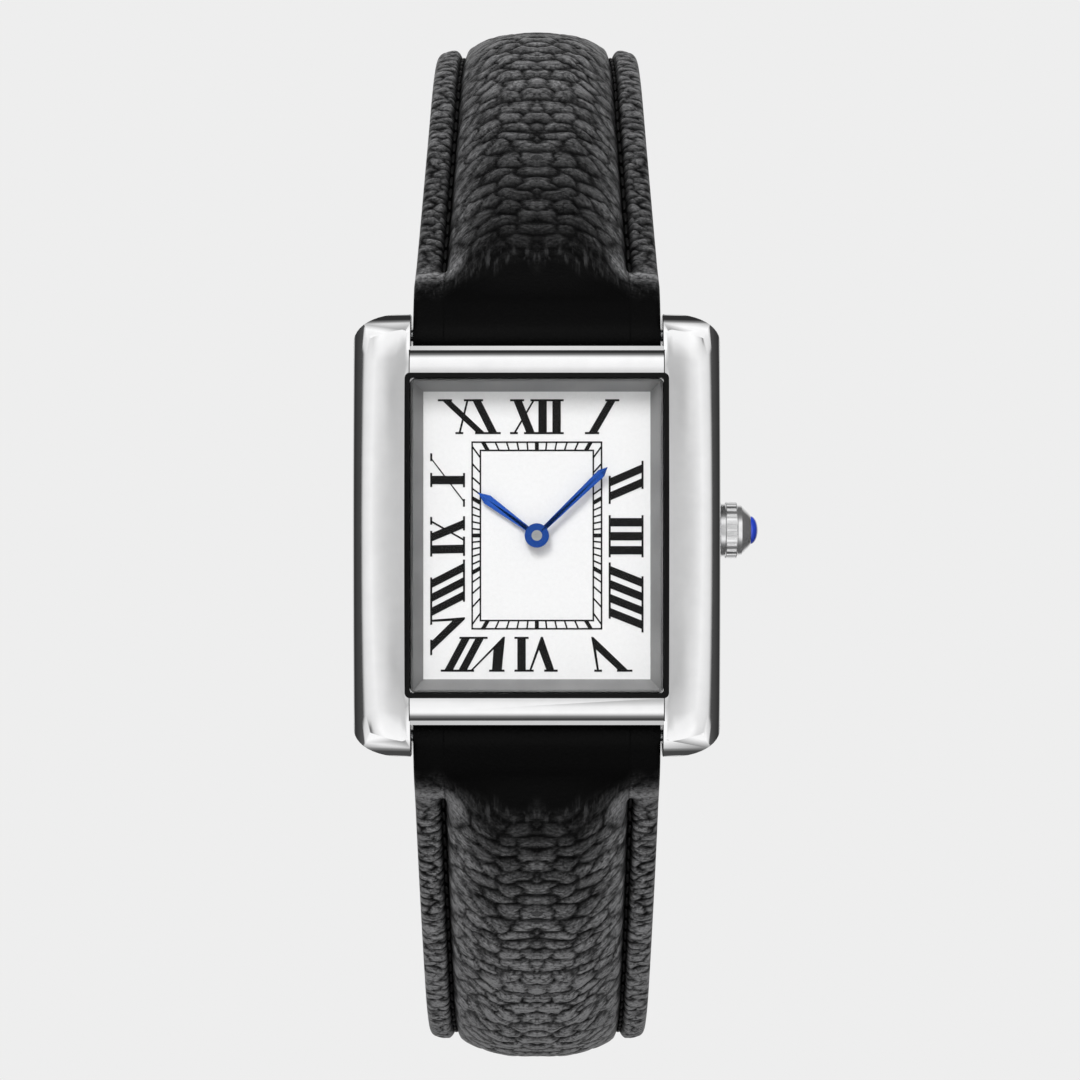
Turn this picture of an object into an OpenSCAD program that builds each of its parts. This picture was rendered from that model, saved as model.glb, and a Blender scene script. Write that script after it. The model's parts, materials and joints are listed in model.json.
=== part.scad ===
// Square wristwatch on a padded leather strap, unfastened.
// The bench frame has x to 3 o'clock, y to 12 o'clock and z out of the dial.
// The case back's outer face is z = 0. placed() turns the bench upright: 12 o'clock points up.

/* [Case] */
// Width over the two side bars
case_w = 23.5; // [23:0.1:26]
// Height over the ends of the side bars
case_h = 28.4; // [28:0.1:31]
// Height of the side bars' crest above the case back
crest_z = 6.9; // [6.8:0.1:8]
// Radius of the side bars' long curve along the case
crest_r = 80; // [60:1:140]
// Half height of the case wall behind the strap ends
end_wall_y = 11.5; // [11.45:0.01:11.6]
// Overhang of the lip above the strap ends
lip_overhang = 0.65; // [0.2:0.05:0.8]
// Thickness of the case back plate
back_t = 0.8; // [0.6:0.05:0.9]
// Width of the case back plate
back_w = 20.4; // [20.2:0.1:21.6]
// Margin of the case back plate inside the end walls
back_margin = 0.1; // [0.05:0.05:0.4]
// Height of the spring bar's axis
bar_z = 2; // [1.9:0.05:2.2]
// Distance of the spring bar's axis from the end wall
bar_gap = 1.45; // [1.4:0.05:1.6]
// Radius of the holes for the spring bar's ends
lug_hole_r = 0.43; // [0.42:0.01:0.5]

/* [Glass and dial] */
// Width of the visible dial
dial_open_w = 14.6; // [14.3:0.1:14.7]
// Height of the visible dial
dial_open_h = 18.5; // [18:0.1:18.7]
// Width of the sloping ring round the dial
rehaut_w = 0.81; // [0.7:0.01:0.9]
// Wall of the black ring round the glass
gasket_t = 0.31; // [0.25:0.01:0.4]
// Thickness of the glass
glass_t = 0.85; // [0.7:0.05:0.9]
// Height of the glass's upper face
glass_top_z = 6.15; // [6.1:0.05:6.4]
// Corner radius of the black ring
gasket_corner_r = 0.35; // [0.2:0.05:0.6]
// Thickness of the dial
dial_t = 0.4; // [0.3:0.05:0.45]
// Thickness of the printed ink
ink_t = 0.03; // [0.02:0.01:0.05]
// Width of the chapter ring over its outer line
track_w = 8.42; // [8:0.05:8.8]
// Height of the chapter ring over its outer line
track_h = 12.1; // [11.5:0.05:12.2]
// Distance between the chapter ring's two lines
track_band = 0.63; // [0.5:0.01:0.7]
// Width of a printed line
line_w = 0.1; // [0.06:0.005:0.11]
// Width of an hour mark in the chapter ring
hour_mark_w = 0.25; // [0.18:0.01:0.3]
// Width of a numeral's broad stroke
stroke_w = 0.54; // [0.4:0.01:0.6]
// Width of a numeral's hairline
hairline_w = 0.13; // [0.08:0.01:0.16]
// Height of the numeral band
numeral_h = 2.24; // [2:0.01:2.3]

/* [Hands] */
// Length of the minute hand from its axis
minute_len = 6.32; // [5.8:0.01:6.6]
// Length of the hour hand from its axis
hour_len = 4.69; // [4.3:0.01:5]
// Width of the minute hand at its broadest
minute_w = 0.55; // [0.45:0.01:0.65]
// Width of the hour hand at its broadest
hour_w = 0.64; // [0.5:0.01:0.8]
// Radius of the hands' hubs
hub_r = 0.78; // [0.7:0.01:0.9]
// Thickness of a hand at its ridge
hand_t = 0.17; // [0.12:0.01:0.18]
// Direction of the minute hand, clockwise from 12
minute_dir = 46; // [0:1:359]
// Direction of the hour hand, clockwise from 12
hour_dir = 306; // [0:1:359]

/* [Crown] */
// Diameter of the fluted crown
crown_d = 3.65; // [3.3:0.05:3.7]
// Length of the crown without its stone
crown_len = 2; // [1.8:0.05:2.2]
// Diameter of the blue stone
stone_d = 2; // [1.8:0.05:2.2]
// Height of the stone above its setting
stone_h = 0.5; // [0.4:0.05:0.7]
// Number of flutes round the crown
flutes = 24; // [16:1:30]
// Distance of the crown's axis above the case's middle line
crown_y = 0.35; // [0.3:0.05:0.4]
// Travel of the crown when it is pulled to set the hands
crown_pull = 0.8; // [0.6:0.05:0.85]
// Radius of the winding stem
stem_r = 0.35; // [0.3:0.01:0.36]

/* [Movement] */
// Width of the movement
move_w = 13; // [12.9:0.1:13.2]
// Height of the movement
move_h = 15.2; // [15:0.1:15.4]
// Diameter of the battery
battery_d = 5.8; // [5.6:0.1:5.9]
// Height of the battery
battery_h = 1.65; // [1.4:0.05:1.7]
// Tooth module of the stepping train's first pair
rotor_module = 0.05; // [0.048:0.001:0.052]
// Tooth module of the stepping train's second pair
centre_module = 0.06; // [0.056:0.001:0.061]
// Tooth module of the motion work under the dial
motion_module = 0.08; // [0.078:0.001:0.08]
// Running clearance round a turning shaft
run_clear = 0.03; // [0.02:0.005:0.04]

/* [Strap] */
// Width of the strap at the case
strap_w = 16; // [15.8:0.05:16.1]
// Clearance between the strap and each side bar
strap_side_clear = 0.1; // [0.08:0.01:0.2]
// Width of the strap at the buckle and the tip
strap_end_w = 14; // [13.4:0.1:14.3]
// Length of the buckle half
upper_len = 75; // [73:0.5:77]
// Length of both halves together
strap_len = 183; // [179:0.5:185]
// Thickness of the strap at its border
border_t = 1.6; // [1.4:0.05:1.8]
// Height of the padding above the border
pad_rise = 1.5; // [1.2:0.05:1.7]
// Width of the border outside the padding
border_w = 2.05; // [1.8:0.05:2.4]
// Thickness of the lining
lining_t = 0.7; // [0.5:0.05:0.8]
// Thickness of the leather over the padding
cover_t = 0.7; // [0.5:0.05:0.8]
// Radius of the strap's rolled end round the spring bar
roll_r = 1.3; // [1.2:0.01:1.32]
// Radius of the spring bar's tube
bar_r = 0.65; // [0.6:0.01:0.7]
// Number of adjustment holes
hole_count = 7; // [5:1:8]
// Distance between adjustment holes
hole_pitch = 6; // [5:0.25:6.5]
// Diameter of an adjustment hole
hole_d = 1.7; // [1.5:0.1:2]

/* [Buckle] */
// Thickness of the buckle's wire
buckle_t = 1.6; // [1.5:0.05:1.8]
// Length of the buckle beyond its bar
buckle_len = 9.2; // [8.6:0.1:9.6]
// Clearance between the strap and the buckle's arms
buckle_side_clear = 0.2; // [0.15:0.05:0.4]
// Radius of the buckle's bar
buckle_bar_r = 0.5; // [0.45:0.01:0.55]
// Width of the tongue
tongue_w = 1.8; // [1.5:0.1:2]
// Thickness of a keeper's leather
keeper_t = 0.9; // [0.7:0.05:1.1]
// Width of a keeper along the strap
keeper_w = 5; // [4:0.1:5.5]

/* [Hidden] */
$fn = 48;

// Heights of the stack, from the case back to the glass
lug_half = strap_w / 2 + strap_side_clear;
bar_y = end_wall_y + bar_gap;
lower_len = strap_len - upper_len;
glass_w = dial_open_w + 2 * rehaut_w;
glass_h = dial_open_h + 2 * rehaut_w;
gasket_w = glass_w + 2 * gasket_t;
gasket_h = glass_h + 2 * gasket_t;
glass_z = glass_top_z - glass_t;
dial_clear = 0.05;
dial_w = glass_w - 2 * dial_clear;
dial_h = glass_h - 2 * dial_clear;
dial_z = 3.4;
dial_top = dial_z + dial_t;
centre_top_z = glass_top_z - 0.05;

// Cavity for the movement
holder_wall_x = 1.15;
holder_wall_y = 1.9;
holder_clear = 0.05;
cavity_w = move_w + 2 * (holder_wall_x + holder_clear);
cavity_h = move_h + 2 * (holder_wall_y + holder_clear);
spigot_t = 0.3;
spigot_wall = 0.6;
back_gasket_t = 0.4;
back_gasket_w = 0.4;

// Heights of the movement's layers
plate_z = 2.35;
plate_t = 0.5;
plate_top = plate_z + plate_t;
bridge_z = 1.05;
bridge_t = 0.25;
motion_z = plate_top + 0.05;
motion_t = 0.18;
hour_wheel_z = motion_z + motion_t + 0.08;
hour_wheel_t = 0.14;
pipe_r = 0.34;
pipe_wall = 0.14;
hour_hand_z = dial_top + 0.35;
minute_hand_z = hour_hand_z + hand_t + 0.15;
pipe_top_z = minute_hand_z + hand_t + 0.28;
pivot_r = 0.09;

// Tooth counts: the rotor turns 60 times for each turn of the minute hand,
// and the hour hand turns once for 12 turns of it
rotor_teeth = 8;
third_teeth = 60;
third_pinion_teeth = 8;
centre_teeth = 64;
cannon_teeth = 10;
minute_teeth = 30;
minute_pinion_teeth = 8;
hour_teeth = 32;
setting_teeth = 16;

// Places of the wheels
third_dir = 90;
rotor_dir = 120;
motion_dir = -35;
third_dist = centre_module * (centre_teeth + third_pinion_teeth) / 2;
rotor_dist = rotor_module * (third_teeth + rotor_teeth) / 2;
motion_dist = motion_module * (cannon_teeth + minute_teeth) / 2;
setting_dist = motion_module * (minute_teeth + setting_teeth) / 2;
third_at = third_dist * [cos(third_dir), sin(third_dir)];
rotor_at = third_at + rotor_dist * [cos(rotor_dir), sin(rotor_dir)];
minute_at = motion_dist * [cos(motion_dir), sin(motion_dir)];
setting_rise = crown_y - minute_at[1];
setting_dir = asin(setting_rise / setting_dist);
setting_at = minute_at + setting_dist * [cos(setting_dir), sin(setting_dir)];

// Keyless work
stem_z = 2.3;
stem_end_x = 2.2;
groove_w = 0.4;
lever_x = 4.7;
lever_reach = 1.55;
lever_pivot = [lever_x + crown_pull / 2, crown_y + lever_reach];
pinion_x = 3.75;
pinion_len = 0.5;
pinion_r = 0.5;
pinion_travel = 0.5;
yoke_reach = 1.85;
yoke_pivot = [pinion_x + pinion_len / 2 - pinion_travel / 2, crown_y + yoke_reach];
lever_t = 0.3;
lever_z = plate_top + 0.05;

// Battery, coil and circuit
battery_inset = 0.4;
battery_at = [battery_d / 2 + battery_inset - move_w / 2, battery_d / 2 + battery_inset - move_h / 2];
battery_z = 0.95;
clip_t = 0.12;
coil_y = 6.2;
coil_z = 1.85;
coil_r = 0.75;
coil_len = 6;
coil_x = -4;
stator_t = 0.3;
magnet_r = 0.5;
board_t = 0.15;
screw_posts = [[-2.7, 1.2], [3, -0.75], [4.1, 3.6]];
post_r = 0.42;
feet = [[-5.5, 6.9], [5.5, -6.9]];
foot_r = 0.3;

// Crown
crown_x = case_w / 2 + 0.05;
tube_r = 0.8;
tube_bore_r = stem_r + 0.1;
tube_out = 1.15;
seal_t = 0.3;

// Spring bars and buckle
bar_tube_half = 7.3;
pin_r = bar_r - 0.27;
pin_reach = lug_half + 0.8;
pin_len = 2.9;
pin_travel = 0.9;
pin_bore_len = pin_len + pin_travel - (pin_reach - bar_tube_half) + 0.3;

// Strap path: arcs in the plane across the wrist, as [length, turn in degrees]
lug_angle = 30;
shoulder_len = 7;
shoulder_turn = 20;
side_turn = 4;
upper_side_len = 19.4;
lower_side_len = 22;
flank_turn = 90 - lug_angle - shoulder_turn - side_turn;
flank_len = 16.3;
upper_back_r = 30;
lower_back_r = 30.4;
function back_arc(length, radius) = [length, length * 180 / (PI * radius)];
upper_horizon = shoulder_len + upper_side_len + flank_len;
lower_horizon = shoulder_len + lower_side_len + flank_len;
upper_path = [
  [shoulder_len, shoulder_turn], [upper_side_len, side_turn], [flank_len, flank_turn],
  back_arc(upper_len - upper_horizon, upper_back_r)
];
lower_path = [
  [shoulder_len, shoulder_turn], [lower_side_len, side_turn], [flank_len, flank_turn],
  back_arc(lower_len - lower_horizon, lower_back_r)
];

// Heights across the strap, measured outwards from the spring bar's axis
lining_low = -roll_r;
lining_top = lining_low + lining_t;
border_top = lining_low + border_t;
filler_gap = 0.03;
flat_crown = 0.04;
ring_step = 2.4;
roll_len = 1.6;
pad_start = 2.6;
pad_full = 5.5;
upper_pad_end = 40;
lower_pad_end = 60;
pad_fade = 9;
filler_start = 6;
tip_round = 8;
buckle_s = upper_len - 1;
end_roll_r = border_t / 2;
end_block = 2.2;
slot_len = 4.4;
buckle_bar_z = lining_low + end_roll_r;
fixed_keeper_back = 8.5;
free_keeper_back = 17;
fixed_keeper_s = upper_len - fixed_keeper_back;
free_keeper_s = upper_len - free_keeper_back;
tip_margin = 8;
first_hole_s = lower_len - tip_margin - hole_pitch * hole_count;
keeper_room = 2 * border_t + 0.6;
buckle_inner_w = strap_end_w + 2 * buckle_side_clear;

// A point on a strap path: [y, z, angle below the dial plane]
function arc_step(at, len, rate) = abs(rate) < 1e-6
  ? [at[0] + len * cos(at[2]), at[1] - len * sin(at[2]), at[2]]
  : let (r = 180 / (PI * rate), a = at[2], b = at[2] + rate * len)
    [at[0] + r * (sin(b) - sin(a)), at[1] - r * (cos(a) - cos(b)), b];
function along(path, s, at = [bar_y, bar_z, lug_angle], i = 0) =
  let (rate = path[i][1] / path[i][0])
  i == len(path) - 1 || s <= path[i][0]
    ? arc_step(at, s, rate)
    : along(path, s - path[i][0], arc_step(at, path[i][0], rate), i + 1);
function lifted(at, x, h) = [x, at[0] + h * sin(at[2]), at[1] + h * cos(at[2])];

// Smooth rise from 0 at a to 1 at b
function ease(a, b, s) = let (t = min(1, max(0, (s - a) / (b - a)))) t * t * (3 - 2 * t);

// Half widths of the two halves of the strap, which begin to narrow past the side bars' ends
full_width_len = 3.5;
function taper(s, len) = min(1, max(0, (s - full_width_len) / (len - full_width_len)));
function upper_half_w(s) =
  let (t = taper(s, upper_len))
  (strap_end_w + (strap_w - strap_end_w) * pow(1 - t, 2.2)) / 2;
function lower_half_w(s) =
  let (t = taper(s, lower_len), tip = max(0, s - lower_len + tip_round) / tip_round)
  (strap_w - (strap_w - strap_end_w) * pow(t, 1.7)) / 2 * sqrt(max(0.02, 1 - tip * tip));
function half_w(upper, s) = upper ? upper_half_w(s) : lower_half_w(s);

// Padding height, and the top of the border beside it
function pad_end(upper) = upper ? upper_pad_end : lower_pad_end;
function pad_h(upper, s) =
  pad_rise * ease(pad_start, pad_full, s) * (1 - ease(pad_end(upper), pad_end(upper) + pad_fade, s));
function rim_h(s) = border_top + (roll_r - border_top) * (1 - ease(pad_start, pad_full, s));
function pad_half(upper, s) = max(0.2, half_w(upper, s) - border_w);
function core_h(upper, s) = max(0, rim_h(s) + pad_h(upper, s) - cover_t - lining_top);
function core_on(upper, s) = s >= filler_start && s <= pad_end(upper) + pad_fade / 2;

// Half of the arched profile, from the border to the middle
arch = [[1, 0], [0.97, 0.5], [0.86, 0.8], [0.55, 0.96], [0, 1]];
function mirrored(half) = concat(half, [for (i = [len(half) - 2:-1:0]) [-half[i][0], half[i][1]]]);
function cover_section(upper, s, low) =
  let (
    w = half_w(upper, s), rim = cover_rim(upper, s), pad = max(flat_crown, pad_h(upper, s)),
    core = core_on(upper, s) ? core_h(upper, s) : flat_crown,
    edge = min(0.3, w / 3, (rim - low) * 0.4), pw = pad_half(upper, s), cw = max(0.1, pw - 0.2),
    top = mirrored(concat(
      [[w, rim - edge], [w - edge, rim]],
      [for (a = arch) [min(pw, w - 1.4 * edge) * a[0], rim + pad * a[1]]]
    )),
    under = mirrored(concat(
      [[w, low], [w - edge, low]],
      [for (a = arch) [min(cw, w - 1.4 * edge) * a[0], low + core * a[1]]]
    ))
  )
  concat(top, [for (i = [len(under) - 1:-1:0]) under[i]]);
function core_section(upper, s) =
  let (cw = pad_half(upper, s) - 0.2 - filler_gap, core = core_h(upper, s) - 2 * filler_gap)
  mirrored([for (a = arch) [cw * a[0], lining_top + filler_gap + core * a[1]]]);
function lining_section(upper, s) =
  let (w = half_w(upper, s))
  [[w, lining_low], [w, lining_top], [-w, lining_top], [-w, lining_low]];

// Rings of points joined into one closed solid
module loft(rings) {
  m = len(rings[0]);
  n = len(rings);
  sides = [
    for (i = [0:n - 2]) for (j = [0:m - 1]) for (k = [0, 1])
      let (a = i * m + j, b = i * m + (j + 1) % m)
      k == 0 ? [a, a + m, b] : [b, a + m, b + m]
  ];
  cap = concat(
    [for (j = [0:m - 1]) if (j + 1 < m - 1 - j) [j, j + 1, m - 1 - j]],
    [for (j = [0:m - 1]) if (j + 1 < m - 2 - j) [j + 1, m - 2 - j, m - 1 - j]]
  );
  far_cap = [for (c = cap) [for (k = [2, 1, 0]) (n - 1) * m + c[k]]];
  polyhedron(points = [for (r = rings) for (p = r) p], faces = concat(sides, cap, far_cap));
}
function stations(a, b) = let (n = max(1, round((b - a) / ring_step))) [for (i = [0:n]) a + (b - a) * i / n];
function body_stations(upper) = stations(roll_len, upper ? buckle_s - end_block : lower_len);
function ring(upper, s, section) =
  let (at = along(upper ? upper_path : lower_path, s))
  [for (p = section) lifted(at, p[0], p[1])];

// Turns the upright bench drawing to the part's own frame
module placed() rotate([90, 0, 0]) children();
// The half strap at 6 o'clock is drawn as the one at 12 is, and mirrored
module half(upper) mirror([0, upper ? 0 : 1, 0]) children();
// Local frame on a strap: x across, y along it, z outwards
module on_strap(upper, s) {
  at = along(upper ? upper_path : lower_path, s);
  translate([0, at[0], at[1]]) rotate([-at[2], 0, 0]) children();
}
// Drawings in the y-z plane, extruded from x0 to x1
module across(x0, x1) translate([x0, 0, 0]) rotate([90, 0, 90]) linear_extrude(x1 - x0) children();
// Cylinder along x
module rod(r, x0, x1) translate([x0, 0, 0]) rotate([0, 90, 0]) cylinder(r = r, h = x1 - x0);
// The drawing and its mirror image across the middle line
module both_sides() for (side = [0, 1]) mirror([side, 0, 0]) children();
module rounded_rect(w, h, r) {
  square([w - 2 * r, h], center = true);
  square([w, h - 2 * r], center = true);
  for (x = [-1, 1], y = [-1, 1]) translate([x * (w / 2 - r), y * (h / 2 - r)]) circle(r);
}
module frame_2d(w, h, r, wall) difference() {
  rounded_rect(w, h, r);
  rounded_rect(w - 2 * wall, h - 2 * wall, max(0.05, r - wall));
}

// Toothed wheel with straight-sided teeth, one of them on the x axis
function tooth_points(teeth, size) =
  let (pitch = 360 / teeth, root = size * (teeth / 2 - 1.2), tip = size * (teeth / 2 + 0.8))
  [for (i = [0:teeth - 1]) for (k = [[root, -0.3], [tip, -0.1], [tip, 0.1], [root, 0.3]])
    k[0] * [cos((i + k[1]) * pitch), sin((i + k[1]) * pitch)]];
module toothed(teeth, size, thick) linear_extrude(thick) polygon(tooth_points(teeth, size));
// Turn of a wheel in direction dir from one whose tooth points at from_turn
function mesh_turn(from_turn, from_teeth, teeth, dir) =
  dir + 180 + 180 / teeth - (from_turn - dir) * from_teeth / teeth;
third_pinion_turn = mesh_turn(third_dir, centre_teeth, third_pinion_teeth, third_dir);
rotor_turn = mesh_turn(rotor_dir, third_teeth, rotor_teeth, rotor_dir);
minute_turn = mesh_turn(motion_dir, cannon_teeth, minute_teeth, motion_dir);
setting_turn = mesh_turn(minute_turn, minute_teeth, setting_teeth, setting_dir);
hour_turn = mesh_turn(motion_dir + 180, minute_pinion_teeth, hour_teeth, motion_dir + 180);

// Side bar: an arc swept along the case, trimmed to its side view and its plan
tip_y = case_h / 2;
bar_low_z = back_t;
ledge_w = 0.31;
shoulder_y = end_wall_y + lip_overhang - ledge_w;
shoulder_drop = 0.25;
shoulder_tilt = 22;
end_roll = 1;
tip_low_r = 1.3;
function arc_points(centre, r, from, to, n = 12) =
  [for (i = [0:n]) centre + r * [cos(from + (to - from) * i / n), sin(from + (to - from) * i / n)]];
// Its front bows down towards the outer edge, which is rolled over
bow_turn = 25;
edge_roll = 0.95;
module bar_section() {
  out = case_w / 2;
  base = crest_r - crest_z;
  wide = out - lug_half;
  bow_end = 1 - edge_roll * (1 - sin(bow_turn)) / wide;
  bow = tan(bow_turn) * wide / (3 * bow_end * bow_end);
  bow_low = bow * pow(bow_end, 3);
  polygon(concat(
    [[base, lug_half], [crest_r - 0.1, lug_half], [crest_r - 0.02, lug_half + 0.06]],
    [for (i = [1:9]) let (t = bow_end * i / 10) [crest_r - bow * pow(t, 3), lug_half + t * wide]],
    arc_points([crest_r - bow_low - edge_roll * cos(bow_turn), out - edge_roll], edge_roll, bow_turn, 90),
    [[base + 2.2, out], [base + 1.2, out - 0.45], [base, out - 0.9]]
  ));
}
module bar_side_view() {
  top = crest_z - crest_r + sqrt(crest_r * crest_r - shoulder_y * shoulder_y) - shoulder_drop;
  brow = [shoulder_y + 1.2, top - 0.25];
  roll_y = tip_y - end_roll;
  roll_z = brow[1] - (roll_y + end_roll * sin(shoulder_tilt) - brow[0]) * tan(shoulder_tilt)
    - end_roll * cos(shoulder_tilt);
  module one_end() {
    polygon(concat(
      [[0, bar_low_z], [0, crest_z + 1], [shoulder_y, crest_z + 1], [shoulder_y, top], brow],
      arc_points([roll_y, roll_z], end_roll, 90 - shoulder_tilt, 0),
      arc_points([tip_y - tip_low_r, bar_z], tip_low_r, 0, -90),
      [[end_wall_y + 0.4, bar_z - tip_low_r], [end_wall_y - 0.2, bar_low_z]]
    ));
  }
  one_end();
  mirror([1, 0]) one_end();
}
module bar_plan() {
  corner_x = case_w / 2 - lug_half - 0.4;
  corner_y = 1.9;
  function corner(sy, from, to) = [for (i = [0:12]) let (a = from + (to - from) * i / 12)
    [case_w / 2 - corner_x + corner_x * cos(a), sy * (tip_y - corner_y) + corner_y * sin(a)]];
  polygon(concat(
    [[lug_half - 0.3, -tip_y]], corner(-1, -90, 0), corner(1, 0, 90), [[lug_half - 0.3, tip_y]]
  ));
}
// Raised front of a bar, seen from the front: it ends in a curved step before the bar's tips
module front_plan() {
  from_tip = [
    [0.22, -1.3], [0.3, -1.13], [0.5, -1.07], [1, -1.16], [1.6, -1.3], [2.3, -1.53], [3.1, -1.82], [4, -2.2]
  ];
  side = lug_half + from_tip[0][0];
  polygon(concat(
    [[side, -shoulder_y], [lug_half - 0.3, -shoulder_y], [lug_half - 0.3, shoulder_y], [side, shoulder_y]],
    [for (k = from_tip) [lug_half + k[0], tip_y + k[1]]],
    [for (i = [len(from_tip) - 1:-1:0]) [lug_half + from_tip[i][0], -tip_y - from_tip[i][1]]]
  ));
}
module side_bar() {
  sweep = asin((tip_y + 0.5) / (crest_r - crest_z));
  intersection() {
    translate([0, 0, crest_z - crest_r]) rotate([90, 0, 90]) rotate([0, 0, 90 - sweep])
      rotate_extrude(angle = 2 * sweep, $fn = 720) bar_section();
    union() {
      across(lug_half - 0.2, case_w / 2 + 1) bar_side_view();
      translate([0, 0, bar_z + 2]) linear_extrude(crest_z) front_plan();
    }
    linear_extrude(crest_z + 1) bar_plan();
  }
}
// Between the bars the front slopes away from the glass and rolls over before a ledge
deck_tilt = 18;
deck_edge_tilt = 40;
deck_roll_r = 1.2;
deck_edge_r = 0.35;
module case_middle() {
  lip_y = end_wall_y + lip_overhang;
  step_y = lip_y - ledge_w;
  edge_y = step_y - deck_edge_r;
  deck_y = edge_y + (deck_edge_r - deck_roll_r) * sin(deck_edge_tilt);
  drop = (deck_y + deck_roll_r * sin(deck_tilt) - gasket_h / 2) * tan(deck_tilt) + deck_roll_r * cos(deck_tilt);
  deck_z = centre_top_z - drop;
  edge_z = deck_z + (deck_roll_r - deck_edge_r) * cos(deck_edge_tilt);
  module one_end() polygon(concat(
    [[0, bar_low_z], [end_wall_y, bar_low_z], [end_wall_y, 3.9], [lip_y, 4.1], [lip_y, 4.6], [step_y, 4.7]],
    arc_points([edge_y, edge_z], deck_edge_r, 0, 90 - deck_edge_tilt, 8),
    arc_points([deck_y, deck_z], deck_roll_r, 90 - deck_edge_tilt, 90 - deck_tilt, 8),
    [[gasket_h / 2, centre_top_z], [0, centre_top_z]]
  ));
  across(-lug_half - 0.3, lug_half + 0.3) {
    one_end();
    mirror([1, 0]) one_end();
  }
}
screw_at = [9.1, 9];
module at_back_screws() for (x = [-1, 1], y = [-1, 1]) translate([x * screw_at[0], y * screw_at[1], 0]) children();
back_h = 2 * (end_wall_y - back_margin);
module case() placed() color("#c9cacc") difference() {
  union() {
    both_sides() side_bar();
    case_middle();
  }
  translate([0, 0, glass_z]) linear_extrude(crest_z) rounded_rect(gasket_w, gasket_h, gasket_corner_r);
  translate([0, 0, dial_z]) linear_extrude(crest_z) rounded_rect(glass_w, glass_h, gasket_corner_r);
  linear_extrude(crest_z) rounded_rect(cavity_w, cavity_h, 1);
  linear_extrude(back_t + back_gasket_t)
    rounded_rect(cavity_w + 2 * back_gasket_w, cavity_h + 2 * back_gasket_w, 1 + back_gasket_w);
  translate([0, crown_y, stem_z]) rod(tube_r, 0, case_w);
  for (y = [-bar_y, bar_y]) translate([0, y, bar_z]) rod(lug_hole_r, -pin_reach - 0.1, pin_reach + 0.1);
  at_back_screws() cylinder(r = 0.5, h = 2.6);
}
module case_back() placed() color("#bfc0c3") difference() {
  union() {
    linear_extrude(back_t) rounded_rect(back_w, back_h, 1.6);
    linear_extrude(back_t + spigot_t) rounded_rect(cavity_w - 0.1, cavity_h - 0.1, 0.95);
  }
  translate([0, 0, back_t])
    linear_extrude(1) rounded_rect(cavity_w - 2 * spigot_wall, cavity_h - 2 * spigot_wall, 0.6);
  at_back_screws() {
    cylinder(r = 0.53, h = 2);
    translate([0, 0, -1]) cylinder(r = 0.9, h = 1.45);
  }
}
module case_back_gasket() placed() color("#202022") translate([0, 0, back_t]) linear_extrude(back_gasket_t)
  difference() {
    rounded_rect(cavity_w + 2 * back_gasket_w, cavity_h + 2 * back_gasket_w, 1 + back_gasket_w);
    rounded_rect(cavity_w, cavity_h, 1);
  }
module case_back_screws() placed() color("#a8a9ab") at_back_screws() difference() {
  union() {
    cylinder(r = 0.5, h = 2.5);
    translate([0, 0, 0.05]) cylinder(r = 0.86, h = 0.4);
  }
  translate([-1, -0.1, -0.1]) cube([2, 0.2, 0.3]);
}

// Glass, its black ring, the sloping ring and the dial
module crystal() placed() color("#dfe8ee", 0.4) {
  translate([0, 0, glass_z]) linear_extrude(glass_t - 0.08) rounded_rect(glass_w, glass_h, gasket_corner_r - 0.1);
  translate([0, 0, glass_top_z - 0.08]) linear_extrude(0.08)
    rounded_rect(glass_w - 0.16, glass_h - 0.16, gasket_corner_r - 0.1);
}
module crystal_gasket() placed() color("#1c1c1c") translate([0, 0, glass_z])
  linear_extrude(glass_t - 0.03) difference() {
    rounded_rect(gasket_w, gasket_h, gasket_corner_r);
    rounded_rect(glass_w, glass_h, gasket_corner_r - 0.1);
  }
// Flare of the sloping ring, from the dial's opening up to the glass
function flare_points(open) = let (low = open / 2, high = open / 2 + rehaut_w - 0.2) [
  [-low, dial_top - 1], [low, dial_top - 1], [low, dial_top], [high, glass_z], [high, glass_z + 1],
  [-high, glass_z + 1], [-high, glass_z], [-low, dial_top]
];
module rehaut() placed() color("#9a9a9a") difference() {
  translate([0, 0, dial_top]) linear_extrude(glass_z - dial_top) rounded_rect(dial_w, dial_h, 0.2);
  intersection() {
    translate([0, glass_h, 0]) rotate([90, 0, 0]) linear_extrude(2 * glass_h)
      polygon(flare_points(dial_open_w));
    across(-glass_w, glass_w) polygon(flare_points(dial_open_h));
  }
}
module dial() placed() color("#f5f5f5") {
  difference() {
    translate([0, 0, dial_z]) linear_extrude(dial_t) rounded_rect(dial_w, dial_h, 0.2);
    translate([0, 0, dial_z - 1]) cylinder(r = pipe_r + pipe_wall + 0.15, h = 3);
  }
  for (p = feet) translate([p[0], p[1], plate_z + 0.1]) cylinder(r = foot_r, h = dial_z - plate_z - 0.05);
}

// Printed numerals: strokes run from the outer edge of the band to the inner one and lean towards the
// dial's centre, and numerals near the corners are wider
x_w = 1.44;
v_w = 1.67;
v_broad = 0.5;
corner_stretch = 1.25;
serif_out = 0.185;
letter_space = 0.2;
bar_space = 0.36;
numeral_top = 8.76;
numeral_side = 6.86;
hours = ["XII", "I", "II", "III", "IIII", "V", "VI", "VII", "VIII", "IX", "X", "XI"];
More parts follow.
